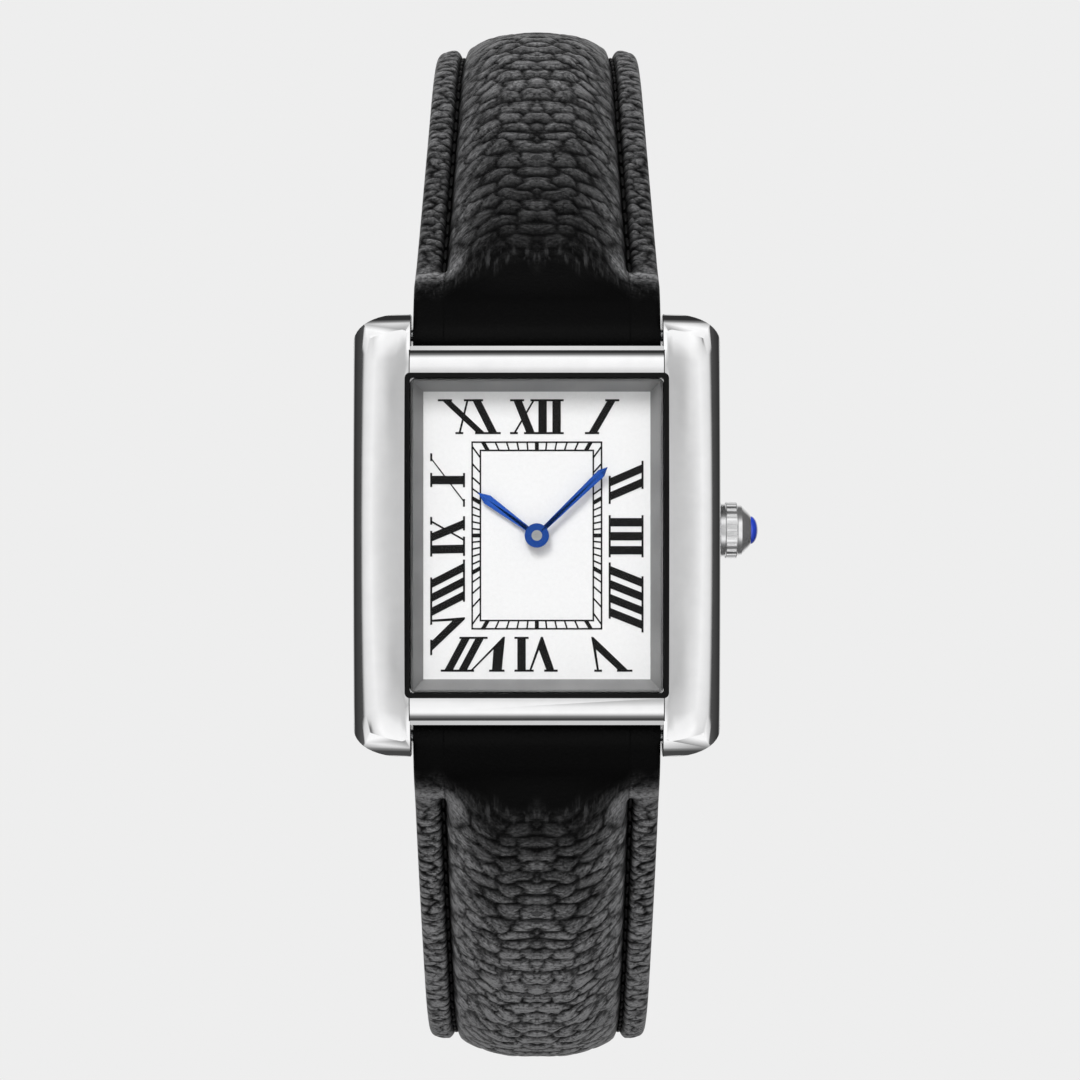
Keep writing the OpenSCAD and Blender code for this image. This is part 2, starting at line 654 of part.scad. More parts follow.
// Quarter turns from the top edge, the middle of the numeral at the outer and inner edge, and its stretch
hour_places = [
  [0, 0, 0, 1], [0, 4.85, 3.55, 1], [1, -3.9, -2.93, 1], [1, 0.05, 0.05, 1], [1, 4.43, 3.54, 1],
  [2, -4.92, -3.56, corner_stretch], [2, 0.05, 0.05, 1], [2, 4.13, 2.93, corner_stretch],
  [3, -5.2, -4.05, corner_stretch], [3, -0.08, -0.04, 1], [3, 4.2, 2.93, corner_stretch],
  [0, -4.91, -3.78, corner_stretch]
];
function letter_w(c, k) = c == "I" ? stroke_w : k * (c == "X" ? x_w : v_w);
function space_after(text, i) =
  i + 1 >= len(text) ? 0 : (text[i] == "I" && text[i + 1] == "I" ? bar_space : letter_space);
function start_of(text, i, k) =
  i == 0 ? 0 : start_of(text, i - 1, k) + letter_w(text[i - 1], k) + space_after(text, i - 1);
function text_w(text, k) = start_of(text, len(text) - 1, k) + letter_w(text[len(text) - 1], k);
module serif_2d(a, b, at) translate([a - serif_out, at - hairline_w]) square([b - a + 2 * serif_out, hairline_w]);
// Stroke of one width between the band's edges, with serifs
module stroke_2d(out, inn, w, top) {
  low = top - numeral_h;
  polygon([[out, top], [out + w, top], [inn + w, low], [inn, low]]);
  serif_2d(out, out + w, top);
  serif_2d(inn, inn + w, low + hairline_w);
}
module x_2d(out, inn, w, top) {
  stroke_2d(out, inn + w - stroke_w, stroke_w, top);
  stroke_2d(out + w - hairline_w, inn, hairline_w, top);
}
// Two strokes that meet in a point at the inner edge
module v_2d(out, inn, w, top) {
  broad = v_broad * w / v_w;
  fork = (w - hairline_w - broad) / w;
  point = inn + w / 2;
  polygon([
    [out, top], [out + broad, top], [out + broad + fork * (point - out), top - fork * numeral_h],
    [out + w - hairline_w, top], [out + w, top], [point + hairline_w / 2, top - numeral_h],
    [point - hairline_w / 2, top - numeral_h]
  ]);
  serif_2d(out, out + broad, top);
  serif_2d(out + w - hairline_w, out + w, top);
}
module numeral_2d(h) {
  text = hours[h];
  place = hour_places[h];
  top = place[0] % 2 == 0 ? numeral_top : numeral_side;
  rotate(-90 * place[0]) for (i = [0:len(text) - 1]) {
    from_middle = start_of(text, i, place[3]) - text_w(text, place[3]) / 2;
    w = letter_w(text[i], place[3]);
    if (text[i] == "I") stroke_2d(place[1] + from_middle, place[2] + from_middle, w, top);
    else if (text[i] == "X") x_2d(place[1] + from_middle, place[2] + from_middle, w, top);
    else v_2d(place[1] + from_middle, place[2] + from_middle, w, top);
  }
}
module dial_numerals() placed() color("#1d1d1d") translate([0, 0, dial_top]) linear_extrude(ink_t)
  for (h = [0:11]) numeral_2d(h);
module minute_track() placed() color("#1d1d1d") translate([0, 0, dial_top]) linear_extrude(ink_t) {
  inner_w = track_w - 2 * track_band;
  inner_h = track_h - 2 * track_band;
  difference() {
    square([track_w, track_h], center = true);
    square([track_w - 2 * line_w, track_h - 2 * line_w], center = true);
  }
  difference() {
    square([inner_w + 2 * line_w, inner_h + 2 * line_w], center = true);
    square([inner_w, inner_h], center = true);
  }
  intersection() {
    difference() {
      square([track_w, track_h], center = true);
      square([inner_w, inner_h], center = true);
    }
    for (i = [0:59]) rotate(-6 * i) {
      mark_w = i % 5 == 0 ? hour_mark_w : line_w;
      translate([-mark_w / 2, 0]) square([mark_w, track_h]);
    }
  }
}

// Hands: a ridged blade that widens towards its point, and a hub with a bore
module blade(length, w, point) {
  root = hub_r * 0.6;
  neck = 0.15;
  wide = length - point;
  rim = hand_t * 0.3;
  polyhedron(
    points = [
      [-neck, root, 0], [-w / 2, wide, 0], [0, length, 0], [w / 2, wide, 0], [neck, root, 0],
      [-neck, root, rim], [-w / 2, wide, rim], [0, length, rim], [w / 2, wide, rim], [neck, root, rim],
      [0, root, hand_t], [0, wide, hand_t]
    ],
    faces = [
      [0, 2, 1], [0, 3, 2], [0, 4, 3],
      [0, 6, 5], [0, 1, 6], [1, 7, 6], [1, 2, 7], [2, 8, 7], [2, 3, 8], [3, 9, 8], [3, 4, 9],
      [4, 10, 9], [4, 5, 10], [4, 0, 5],
      [5, 11, 10], [5, 6, 11], [6, 7, 11], [7, 8, 11], [8, 9, 11], [9, 10, 11]
    ]
  );
}
module hand(length, w, point, dir, z, bore) translate([0, 0, z]) rotate([0, 0, -dir]) difference() {
  union() {
    blade(length, w, point);
    cylinder(r = hub_r, h = hand_t * 0.8);
  }
  translate([0, 0, -1]) cylinder(r = bore, h = 3);
}
module hour_hand() placed() color("#2a4fb0")
  hand(hour_len, hour_w, 0.76, hour_dir, hour_hand_z, pipe_r + pipe_wall);
module minute_hand() placed() color("#2a4fb0")
  hand(minute_len, minute_w, 0.57, minute_dir, minute_hand_z, pipe_r);

// Wheels
module at_xy(p, z) translate([p[0], p[1], z]) children();
module shaft(p, r, z0, z1) at_xy(p, z0) cylinder(r = r, h = z1 - z0);
module pivots(p, r, low, high) {
  shaft(p, r, low, high);
  shaft(p, pivot_r, bridge_z + 0.05, low);
  shaft(p, pivot_r, high, plate_z + 0.2);
}
arbor_low = bridge_z + bridge_t + 0.03;
arbor_high = plate_z - 0.04;
centre_arbor_r = 0.25;
cannon_grip_z = dial_top + 0.15;
module centre_wheel() placed() color("#c9a94e") {
  shaft([0, 0], centre_arbor_r, arbor_low, cannon_grip_z);
  shaft([0, 0], pivot_r, bridge_z + 0.05, arbor_low);
  translate([0, 0, 1.95]) rotate(third_dir) toothed(centre_teeth, centre_module, 0.15);
}
module cannon_pinion() placed() color("#b9bcc0") difference() {
  union() {
    translate([0, 0, motion_z]) rotate(motion_dir) toothed(cannon_teeth, motion_module, motion_t);
    shaft([0, 0], pipe_r, motion_z + motion_t, pipe_top_z);
  }
  shaft([0, 0], centre_arbor_r, 0, cannon_grip_z);
  shaft([0, 0], 0.16, pipe_top_z - 0.12, pipe_top_z + 1);
}
module minute_wheel() placed() color("#c9a94e") difference() {
  at_xy(minute_at, motion_z) {
    rotate(minute_turn) toothed(minute_teeth, motion_module, motion_t);
    rotate(motion_dir + 180) toothed(minute_pinion_teeth, motion_module, hour_wheel_z + hour_wheel_t - motion_z);
  }
  shaft(minute_at, post_pin_r + run_clear, 0, 9);
}
module hour_wheel() placed() color("#c9a94e") difference() {
  union() {
    translate([0, 0, hour_wheel_z]) rotate(hour_turn) toothed(hour_teeth, motion_module, hour_wheel_t);
    shaft([0, 0], pipe_r + pipe_wall, hour_wheel_z, hour_hand_z + hand_t * 0.8);
  }
  shaft([0, 0], pipe_r + run_clear, 0, 9);
}
module intermediate_wheel() placed() color("#c9a94e") {
  pivots(third_at, 0.15, arbor_low, arbor_high);
  at_xy(third_at, 1.5) rotate(rotor_dir) toothed(third_teeth, rotor_module, 0.15);
  at_xy(third_at, 1.9) rotate(third_pinion_turn) toothed(third_pinion_teeth, centre_module, 0.3);
}
module rotor() placed() color("#8d9095") {
  pivots(rotor_at, 0.12, arbor_low, arbor_high);
  at_xy(rotor_at, 1.42) rotate(rotor_turn) toothed(rotor_teeth, rotor_module, 0.26);
  shaft(rotor_at, magnet_r, 1.74, 2.15);
}
post_pin_r = 0.13;
module setting_wheel() placed() color("#c9a94e") difference() {
  at_xy(setting_at, motion_z) rotate(setting_turn) toothed(setting_teeth, motion_module, motion_t);
  shaft(setting_at, post_pin_r + run_clear, 0, 9);
}

// Keyless work: stem, sliding pinion, setting lever and yoke
module on_stem() translate([0, crown_y, stem_z]) children();
stem_seat = 0.35;
module stem() placed() color("#a9acb0") on_stem() difference() {
  rod(stem_r, stem_end_x, crown_x + tube_out + 0.1 + stem_seat);
  difference() {
    rod(stem_r + 1, lever_x - groove_w / 2, lever_x + groove_w / 2);
    rod(stem_r - 0.17, 0, case_w);
  }
}
yoke_groove = 0.26;
module sliding_pinion() placed() color("#b9bcc0") on_stem() difference() {
  mid = pinion_x + pinion_len / 2;
  rod(pinion_r, pinion_x, pinion_x + pinion_len);
  rod(stem_r + 0.02, 0, case_w);
  difference() {
    rod(pinion_r + 1, mid - yoke_groove / 2, mid + yoke_groove / 2);
    rod(pinion_r - 0.11, 0, case_w);
  }
  for (i = [0:11]) rotate([i * 30, 0, 0]) translate([pinion_x - 0.1, -0.05, stem_r - 0.05]) cube([0.17, 0.1, 0.4]);
}
module arm(from, to, w) {
  d = to - from;
  at_xy(from, lever_z) rotate(atan2(d[1], d[0])) translate([0, -w / 2, 0]) cube([norm(d), w, lever_t]);
}
module lever(pivot, finger, w, finger_r, finger_low) difference() {
  union() {
    shaft(pivot, w, lever_z, lever_z + lever_t);
    arm(pivot, finger, w);
    shaft(finger, w / 2, lever_z, lever_z + lever_t);
    shaft(finger, finger_r, finger_low, lever_z + lever_t);
  }
  shaft(pivot, post_pin_r + run_clear, 0, 9);
}
module setting_lever() placed() color("#9da0a4")
  lever(lever_pivot, [lever_x, crown_y], 0.34, 0.12, stem_z + stem_r - 0.12);
module yoke() placed() color("#9da0a4")
  lever(yoke_pivot, [pinion_x + pinion_len / 2, crown_y], 0.26, 0.08, stem_z + pinion_r - 0.08);

// Plates and electrics of the movement
coil_flange_r = 0.95;
block_x = 5.75;
module main_plate() placed() color("#b8a15c") difference() {
  union() {
    translate([0, 0, plate_z]) linear_extrude(plate_t) rounded_rect(move_w, move_h, 2);
    translate([block_x, crown_y - 0.6, stem_z - 0.55]) cube([move_w / 2 - block_x, 1.2, plate_top - stem_z + 0.55]);
    for (p = screw_posts) shaft(p, post_r, bridge_z + bridge_t, plate_z + 0.1);
    for (p = [minute_at, setting_at]) shaft(p, post_pin_r, plate_top - 0.1, dial_z - 0.05);
    for (p = [lever_pivot, yoke_pivot]) shaft(p, post_pin_r, plate_top - 0.1, lever_z + lever_t + 0.1);
  }
  shaft([0, 0], centre_arbor_r + run_clear, 0, 9);
  for (p = [third_at, rotor_at]) shaft(p, pivot_r + run_clear, plate_z - 0.1, plate_z + 0.25);
  shaft(battery_at, battery_d / 2 + 0.1, 0, 9);
  translate([coil_x - 0.1, coil_y - coil_flange_r - 0.1, 0]) cube([coil_len + 0.2, 2 * coil_flange_r + 0.2, 9]);
  translate([stem_end_x - 0.1, crown_y - 0.45, 0]) cube([block_x - stem_end_x + 0.1, 0.9, stem_z + stem_r + 0.05]);
  translate([3.05, crown_y - 0.56, 0]) cube([block_x - 3.05, 1.12, 9]);
  on_stem() rod(stem_r + run_clear, 0, case_w);
  for (p = feet) shaft(p, foot_r + 0.02, 0, 9);
  for (p = screw_posts) shaft(p, 0.3, 0, 2);
}
module train_bridge() placed() color("#b9bcc0") translate([0, 0, bridge_z]) difference() {
  linear_extrude(bridge_t) polygon([
    [-3.3, -0.9], [-3.3, 2.2], [-1.9, 4.8], [1.2, 4.8], [4.8, 4.3], [4.8, 2.8], [3.8, -1.4], [1, -1.9], [-1, -1.4]
  ]);
  for (p = [[0, 0], third_at, rotor_at]) shaft(p, pivot_r + run_clear, -1, 1);
  for (p = screw_posts) shaft(p, 0.3, -1, 1);
}
module movement_screws() placed() color("#7d8085") for (p = screw_posts) difference() {
  union() {
    shaft(p, 0.28, bridge_z, 1.95);
    shaft(p, 0.55, bridge_z - 0.15, bridge_z);
  }
  at_xy(p, bridge_z - 0.2) translate([-0.6, -0.06, 0]) cube([1.2, 0.12, 0.12]);
}
module battery() placed() color("#c4c6c8") {
  shaft(battery_at, battery_d / 2, battery_z + 0.3, battery_z + battery_h);
  shaft(battery_at, battery_d / 2 - 0.35, battery_z, battery_z + 0.3);
}
clip_x = 1.7;
module battery_clip() placed() color("#c9a94e") {
  translate([battery_at[0] - 1.2, battery_at[1] - 0.6, battery_z - clip_t])
    cube([clip_x + 0.3 - battery_at[0] + 1.2, 1.2, clip_t]);
  translate([clip_x, battery_at[1] - 0.6, battery_z - clip_t]) cube([0.3, 1.2, plate_z - board_t - battery_z + clip_t]);
}
board_h = 5.4;
board_left = battery_at[0] + battery_d / 2 + 0.55;
board_right = move_w / 2 - 0.65;
board_w = board_right - board_left;
board_at = [board_left, 0.6 - move_h / 2, plate_z - board_t];
chip_w = 2;
can_len = 5;
can_r = 0.6;
module circuit_board() placed() color("#2f6b3c") translate(board_at) cube([board_w, board_h, board_t]);
module circuit_chip() placed() color("#1b1b1d")
  translate([board_right - chip_w, board_at[1] + 2.5, board_at[2] - 0.4]) cube([chip_w, chip_w, 0.4]);
module quartz_can() placed() color("#c9ccd0")
  translate([0, board_at[1] + 0.7, board_at[2] - can_r]) rod(can_r, board_right - 0.05 - can_len, board_right - 0.05);
module coil() placed() color("#b5703a") translate([0, coil_y, coil_z]) difference() {
  union() {
    rod(coil_r, coil_x, coil_x + coil_len);
    rod(coil_flange_r, coil_x, coil_x + 0.2);
    rod(coil_flange_r, coil_x + coil_len - 0.2, coil_x + coil_len);
  }
  rod(0.22, coil_x - 1, coil_x + coil_len + 1);
}
leg_w = 1;
stator_y = 2.72;
module stator() placed() color("#8d9095") {
  reach = coil_y + 0.5 - stator_y;
  left = coil_x - leg_w - 0.1;
  right = coil_x + coil_len + 0.1;
  translate([0, 0, coil_z - stator_t / 2]) difference() {
    union() {
      translate([left, stator_y, 0]) cube([right + leg_w - left, 1.85, stator_t]);
      for (x = [left, right]) translate([x, stator_y, 0]) cube([leg_w, reach, stator_t]);
    }
    shaft(rotor_at, magnet_r + 0.2, -1, 1);
  }
  translate([0, coil_y, coil_z]) rod(0.14, left + 0.2, right + leg_w - 0.2);
}
holder_low = back_t + spigot_t + 0.05;
module movement_holder() placed() color("#3c3f42") difference() {
  translate([0, 0, holder_low]) linear_extrude(dial_z - holder_low) difference() {
    rounded_rect(cavity_w - 0.1, cavity_h - 0.1, 0.95);
    rounded_rect(move_w + 0.1, move_h + 0.1, 2.05);
  }
  on_stem() rod(stem_r + 0.15, 0, case_w);
}

// Crown, drawn along z from the case outwards
module on_crown() translate([crown_x, crown_y, stem_z]) rotate([0, 90, 0]) children();
crown_r = crown_d / 2;
flute_low = 0.4;
flute_high = crown_len - 0.9;
seal_low = 0.38;
module crown() placed() color("#cfd0d2") on_crown() difference() {
  rotate_extrude($fn = 96) polygon([
    [0, 0], [crown_r * 0.9, 0], [crown_r * 0.94, 0.06], [crown_r * 0.94, flute_low - 0.05],
    [crown_r, flute_low], [crown_r, flute_high], [crown_r * 0.9, flute_high + 0.06],
    [crown_r * 0.88, flute_high + 0.32], [stone_d / 2 + 0.08, crown_len - 0.06], [stone_d / 2, crown_len],
    [0, crown_len]
  ]);
  translate([0, 0, -1]) cylinder(r = tube_r + run_clear, h = 1 + tube_out + 0.1);
  translate([0, 0, seal_low]) cylinder(r = tube_r + seal_t, h = seal_t + 0.04);
  cylinder(r = stem_r, h = tube_out + 0.1 + stem_seat);
  translate([0, 0, crown_len - 0.15]) cylinder(r = stone_d / 2 - 0.08, h = 1);
  for (i = [0:flutes - 1]) rotate(i * 360 / flutes) translate([crown_r + 0.03, 0, flute_low + 0.04])
    cylinder(r = 0.14, h = flute_high - flute_low - 0.08, $fn = 16);
}
module crown_cabochon() placed() color("#1f3fae") on_crown() {
  seat_r = stone_d / 2 - 0.08;
  translate([0, 0, crown_len - 0.15]) cylinder(r = seat_r, h = 0.15);
  translate([0, 0, crown_len]) rotate_extrude($fn = 64) polygon(concat(
    [[0, 0]], [for (a = [0:7.5:90]) [seat_r * cos(a), stone_h * sin(a)]]
  ));
}
module crown_gasket() placed() color("#242424") on_crown() translate([0, 0, seal_low + 0.02]) difference() {
  cylinder(r = tube_r + seal_t - 0.02, h = seal_t);
  translate([0, 0, -1]) cylinder(r = tube_r + 0.02, h = 3);
}
module crown_tube() placed() color("#c4c6c8") on_stem() difference() {
  rod(tube_r, cavity_w / 2, case_w / 2 + tube_out);
  rod(tube_bore_r, 0, case_w);
}

// Spring bars with their sprung ends
module spring_bar(y) placed() color("#b5b7ba") translate([0, y, bar_z]) difference() {
  rod(bar_r, -bar_tube_half, bar_tube_half);
  both_sides() rod(pin_r + run_clear, bar_tube_half - pin_bore_len, bar_tube_half + 1);
}
module bar_pin(y, side) placed() color("#a9acb0") translate([0, y, bar_z]) mirror([side < 0 ? 1 : 0, 0, 0])
  rod(pin_r, pin_reach - pin_len, pin_reach);
module upper_spring_bar() spring_bar(bar_y);
module lower_spring_bar() spring_bar(-bar_y);
module upper_bar_pin_left() bar_pin(bar_y, -1);
module upper_bar_pin_right() bar_pin(bar_y, 1);
module lower_bar_pin_left() bar_pin(-bar_y, -1);
module lower_bar_pin_right() bar_pin(-bar_y, 1);

// Strap leather: a cover over the padding, rolled round the spring bar and the buckle's bar
roll_clear = 0.05;
roll_ends = [0.96, 0.85, 0.62, 0.33];
function cover_stations(upper) = concat(
  [for (k = roll_ends) -k * roll_r], [0, roll_len - 0.05],
  body_stations(upper),
  upper ? concat([buckle_s - end_block + 0.05, buckle_s], [for (i = [3:-1:0]) buckle_s + roll_ends[i] * end_roll_r])
    : []
);
function round_h(r, s) = sqrt(max(0, r * r - s * s));
function cover_low(upper, s) =
  s < 0 ? -round_h(roll_r, s)
  : upper && s > buckle_s ? buckle_bar_z - round_h(end_roll_r, s - buckle_s)
  : s < roll_len - 0.01 || (upper && s > buckle_s - end_block + 0.01) ? lining_low : lining_top;
function cover_rim(upper, s) =
  s < 0 ? round_h(roll_r, s)
  : upper && s > buckle_s ? buckle_bar_z + round_h(end_roll_r, s - buckle_s) : rim_h(s);
module strap_holes(upper) {
  translate([0, bar_y, bar_z]) rod(bar_r + roll_clear, -strap_w, strap_w);
  if (upper) on_strap(upper, buckle_s) {
    translate([0, 0, buckle_bar_z]) rod(buckle_bar_r + roll_clear, -strap_w, strap_w);
    translate([-tongue_w / 2 - 0.3, -slot_len, -4]) cube([tongue_w + 0.6, slot_len + 3, 8]);
  }
  else for (i = [0:hole_count - 1]) on_strap(upper, first_hole_s + i * hole_pitch)
    translate([0, 0, -3]) cylinder(r = hole_d / 2, h = 6);
}
module strap_leather(upper) half(upper) difference() {
  loft([for (s = cover_stations(upper)) ring(upper, s, cover_section(upper, s, cover_low(upper, s)))]);
  strap_holes(upper);
}
module strap_filler(upper) half(upper)
  loft([for (s = body_stations(upper)) if (core_on(upper, s)) ring(upper, s, core_section(upper, s))]);
module strap_lining(upper) half(upper) difference() {
  loft([for (s = body_stations(upper)) ring(upper, s, lining_section(upper, s))]);
  strap_holes(upper);
}
module upper_strap_leather() placed() color("#3a3a3c") strap_leather(true);
module upper_strap_filler() placed() color("#d8d2c4") strap_filler(true);
module upper_strap_lining() placed() color("#241f1c") strap_lining(true);
module lower_strap_leather() placed() color("#3a3a3c") strap_leather(false);
module lower_strap_filler() placed() color("#d8d2c4") strap_filler(false);
module lower_strap_lining() placed() color("#241f1c") strap_lining(false);

// Keepers follow the strap's curve at the back
module keeper(s, clear) on_strap(true, s) {
  inside = upper_half_w(s) + clear + 0.05;
  span = keeper_w / 2 * 180 / (PI * upper_back_r);
  low = upper_back_r + lining_low - clear;
  translate([0, 0, -upper_back_r]) rotate([90, 0, 90]) rotate([0, 0, 90 - span])
    rotate_extrude(angle = 2 * span, $fn = 360) difference() {
      translate([low - keeper_t, -inside - keeper_t]) square([keeper_room + 2 * keeper_t, 2 * (inside + keeper_t)]);
      translate([low, -inside]) square([keeper_room, 2 * inside]);
    }
}
module fixed_keeper() placed() color("#343436") keeper(fixed_keeper_s, 0.03);
module free_keeper() placed() color("#343436") keeper(free_keeper_s, 0.1);

// Buckle
module on_buckle() on_strap(true, buckle_s) translate([0, 0, buckle_bar_z]) children();
buckle_arm = 1.5;
buckle_outer_w = buckle_inner_w + 2 * buckle_arm;
buckle_front = 1.8;
ear_back = 1;
module buckle_frame() placed() color("#c9cacc") on_buckle() difference() {
  translate([0, 0, -buckle_t / 2]) linear_extrude(buckle_t) difference() {
    union() {
      translate([0, (buckle_len - ear_back) / 2]) rounded_rect(buckle_outer_w, buckle_len + ear_back, 0.95);
      translate([0, buckle_len - 2]) rounded_rect(buckle_outer_w + 0.8, 4, 1.6);
    }
    translate([-buckle_inner_w / 2, -9]) square([buckle_inner_w, buckle_len + 9 - buckle_front]);
  }
  rod(buckle_bar_r, -strap_w, strap_w);
}
module buckle_bar() placed() color("#b5b7ba") on_buckle()
  rod(buckle_bar_r, -buckle_outer_w / 2, buckle_outer_w / 2);
tongue_roll_r = 0.9;
module buckle_tongue() placed() color("#c9cacc") on_buckle() difference() {
  union() {
    rod(tongue_roll_r, -tongue_w / 2, tongue_w / 2);
    translate([-tongue_w / 2, 0, buckle_t / 2 + 0.04]) cube([tongue_w, buckle_len - 0.2, 0.5]);
    translate([0, buckle_len - 0.2, buckle_t / 2 + 0.04]) cylinder(r = tongue_w / 2, h = 0.5);
  }
  rod(buckle_bar_r + roll_clear, -strap_w, strap_w);
}

case();
crystal();
crystal_gasket();
rehaut();
case_back();
case_back_gasket();
case_back_screws();
crown_tube();
crown();
crown_cabochon();
crown_gasket();
stem();
sliding_pinion();
setting_lever();
yoke();
setting_wheel();
main_plate();
train_bridge();
movement_screws();
battery();
battery_clip();
circuit_board();
quartz_can();
circuit_chip();
coil();
stator();
rotor();
intermediate_wheel();
centre_wheel();
cannon_pinion();
minute_wheel();
hour_wheel();
movement_holder();
dial();
dial_numerals();
minute_track();
hour_hand();
minute_hand();
upper_spring_bar();
upper_bar_pin_left();
upper_bar_pin_right();
lower_spring_bar();
lower_bar_pin_left();
lower_bar_pin_right();
upper_strap_leather();
upper_strap_filler();
upper_strap_lining();
lower_strap_leather();
lower_strap_filler();
lower_strap_lining();
fixed_keeper();
free_keeper();
buckle_frame();
buckle_bar();
buckle_tongue();
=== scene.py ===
"""Square dress watch: the dressed model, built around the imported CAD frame."""

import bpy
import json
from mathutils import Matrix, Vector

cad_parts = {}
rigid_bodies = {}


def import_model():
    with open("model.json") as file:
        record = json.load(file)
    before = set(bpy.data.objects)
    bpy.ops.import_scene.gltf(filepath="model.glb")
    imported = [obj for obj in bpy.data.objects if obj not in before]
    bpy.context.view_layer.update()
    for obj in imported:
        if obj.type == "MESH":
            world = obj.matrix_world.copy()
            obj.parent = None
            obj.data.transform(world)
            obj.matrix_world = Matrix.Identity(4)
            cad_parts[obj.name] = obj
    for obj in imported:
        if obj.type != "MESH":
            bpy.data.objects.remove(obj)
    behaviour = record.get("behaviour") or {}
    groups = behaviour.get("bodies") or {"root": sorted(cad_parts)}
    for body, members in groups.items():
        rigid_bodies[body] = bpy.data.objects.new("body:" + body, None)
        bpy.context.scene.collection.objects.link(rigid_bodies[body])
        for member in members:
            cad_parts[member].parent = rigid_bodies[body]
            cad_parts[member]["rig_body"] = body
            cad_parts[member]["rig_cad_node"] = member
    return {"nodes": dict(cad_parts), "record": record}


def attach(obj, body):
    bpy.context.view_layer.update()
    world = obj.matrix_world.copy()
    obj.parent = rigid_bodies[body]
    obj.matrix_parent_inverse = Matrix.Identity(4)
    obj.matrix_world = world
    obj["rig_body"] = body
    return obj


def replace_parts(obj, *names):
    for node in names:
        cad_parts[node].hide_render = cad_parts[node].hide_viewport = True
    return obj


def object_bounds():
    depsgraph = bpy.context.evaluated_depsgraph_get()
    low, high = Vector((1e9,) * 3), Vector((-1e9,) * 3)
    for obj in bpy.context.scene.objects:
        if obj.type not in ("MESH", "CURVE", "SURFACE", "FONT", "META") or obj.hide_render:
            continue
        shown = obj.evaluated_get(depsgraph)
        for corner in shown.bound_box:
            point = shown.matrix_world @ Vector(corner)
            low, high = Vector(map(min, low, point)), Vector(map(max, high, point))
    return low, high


bl_info = {
    "name": "Square dress watch",
    "version": (1, 0, 0),
    "blender": (4, 5, 0),
    "location": "3D View > Sidebar > Watch",
    "description": "Builds a small square wristwatch with a padded leather strap",
    "category": "Object",
}

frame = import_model()

import json
import math

import bmesh
import bpy
import numpy as np
from bpy.props import FloatProperty, FloatVectorProperty, IntProperty, PointerProperty
from mathutils import Vector

MM = 0.001
CAD_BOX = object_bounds()

# Spring bars: height from 12 o'clock, depth behind the case back's face, slope of the strap there
BAR_Y, BAR_Z, LUG_SLOPE = 12.95, 2.0, 30.0
# Strap paths as (length, turn in degrees), then the radius of the last arc
UPPER_RUN, UPPER_BACK_R, UPPER_LEN = ((7.0, 20.0), (19.4, 4.0), (16.3, 36.0)), 30.0, 75.0
LOWER_RUN, LOWER_BACK_R, LOWER_LEN = ((7.0, 20.0), (22.0, 4.0), (16.3, 36.0)), 30.4, 108.0
# Heights across the strap, outwards from the bar's axis
LINING_LOW, LINING_TOP, BORDER_TOP, ROLL_R = -1.3, -0.6, 0.3, 1.3
STRAP_W, STRAP_END_W, BORDER_W, PAD_RISE = 16.0, 14.0, 2.05, 1.5
ROLL_LEN, FULL_WIDTH_LEN, TIP_ROUND, BUCKLE_END = 1.6, 3.5, 8.0, 1.0
PAD_FADE, HOLE_PITCH, HOLE_COUNT, HOLE_D, HOLES_TO_TIP = 9.0, 6.0, 7, 1.7, 8.0
# Stitched seams: where they start, how far from the upper half's end they stop, and their place in the groove
SEAM_START, SEAM_TO_END, SEAM_SHIFT = 6.0, 14.0, 0.2


def ease(a, b, s):
    t = np.clip((np.asarray(s, float) - a) / (b - a), 0.0, 1.0)
    return t * t * (3.0 - 2.0 * t)


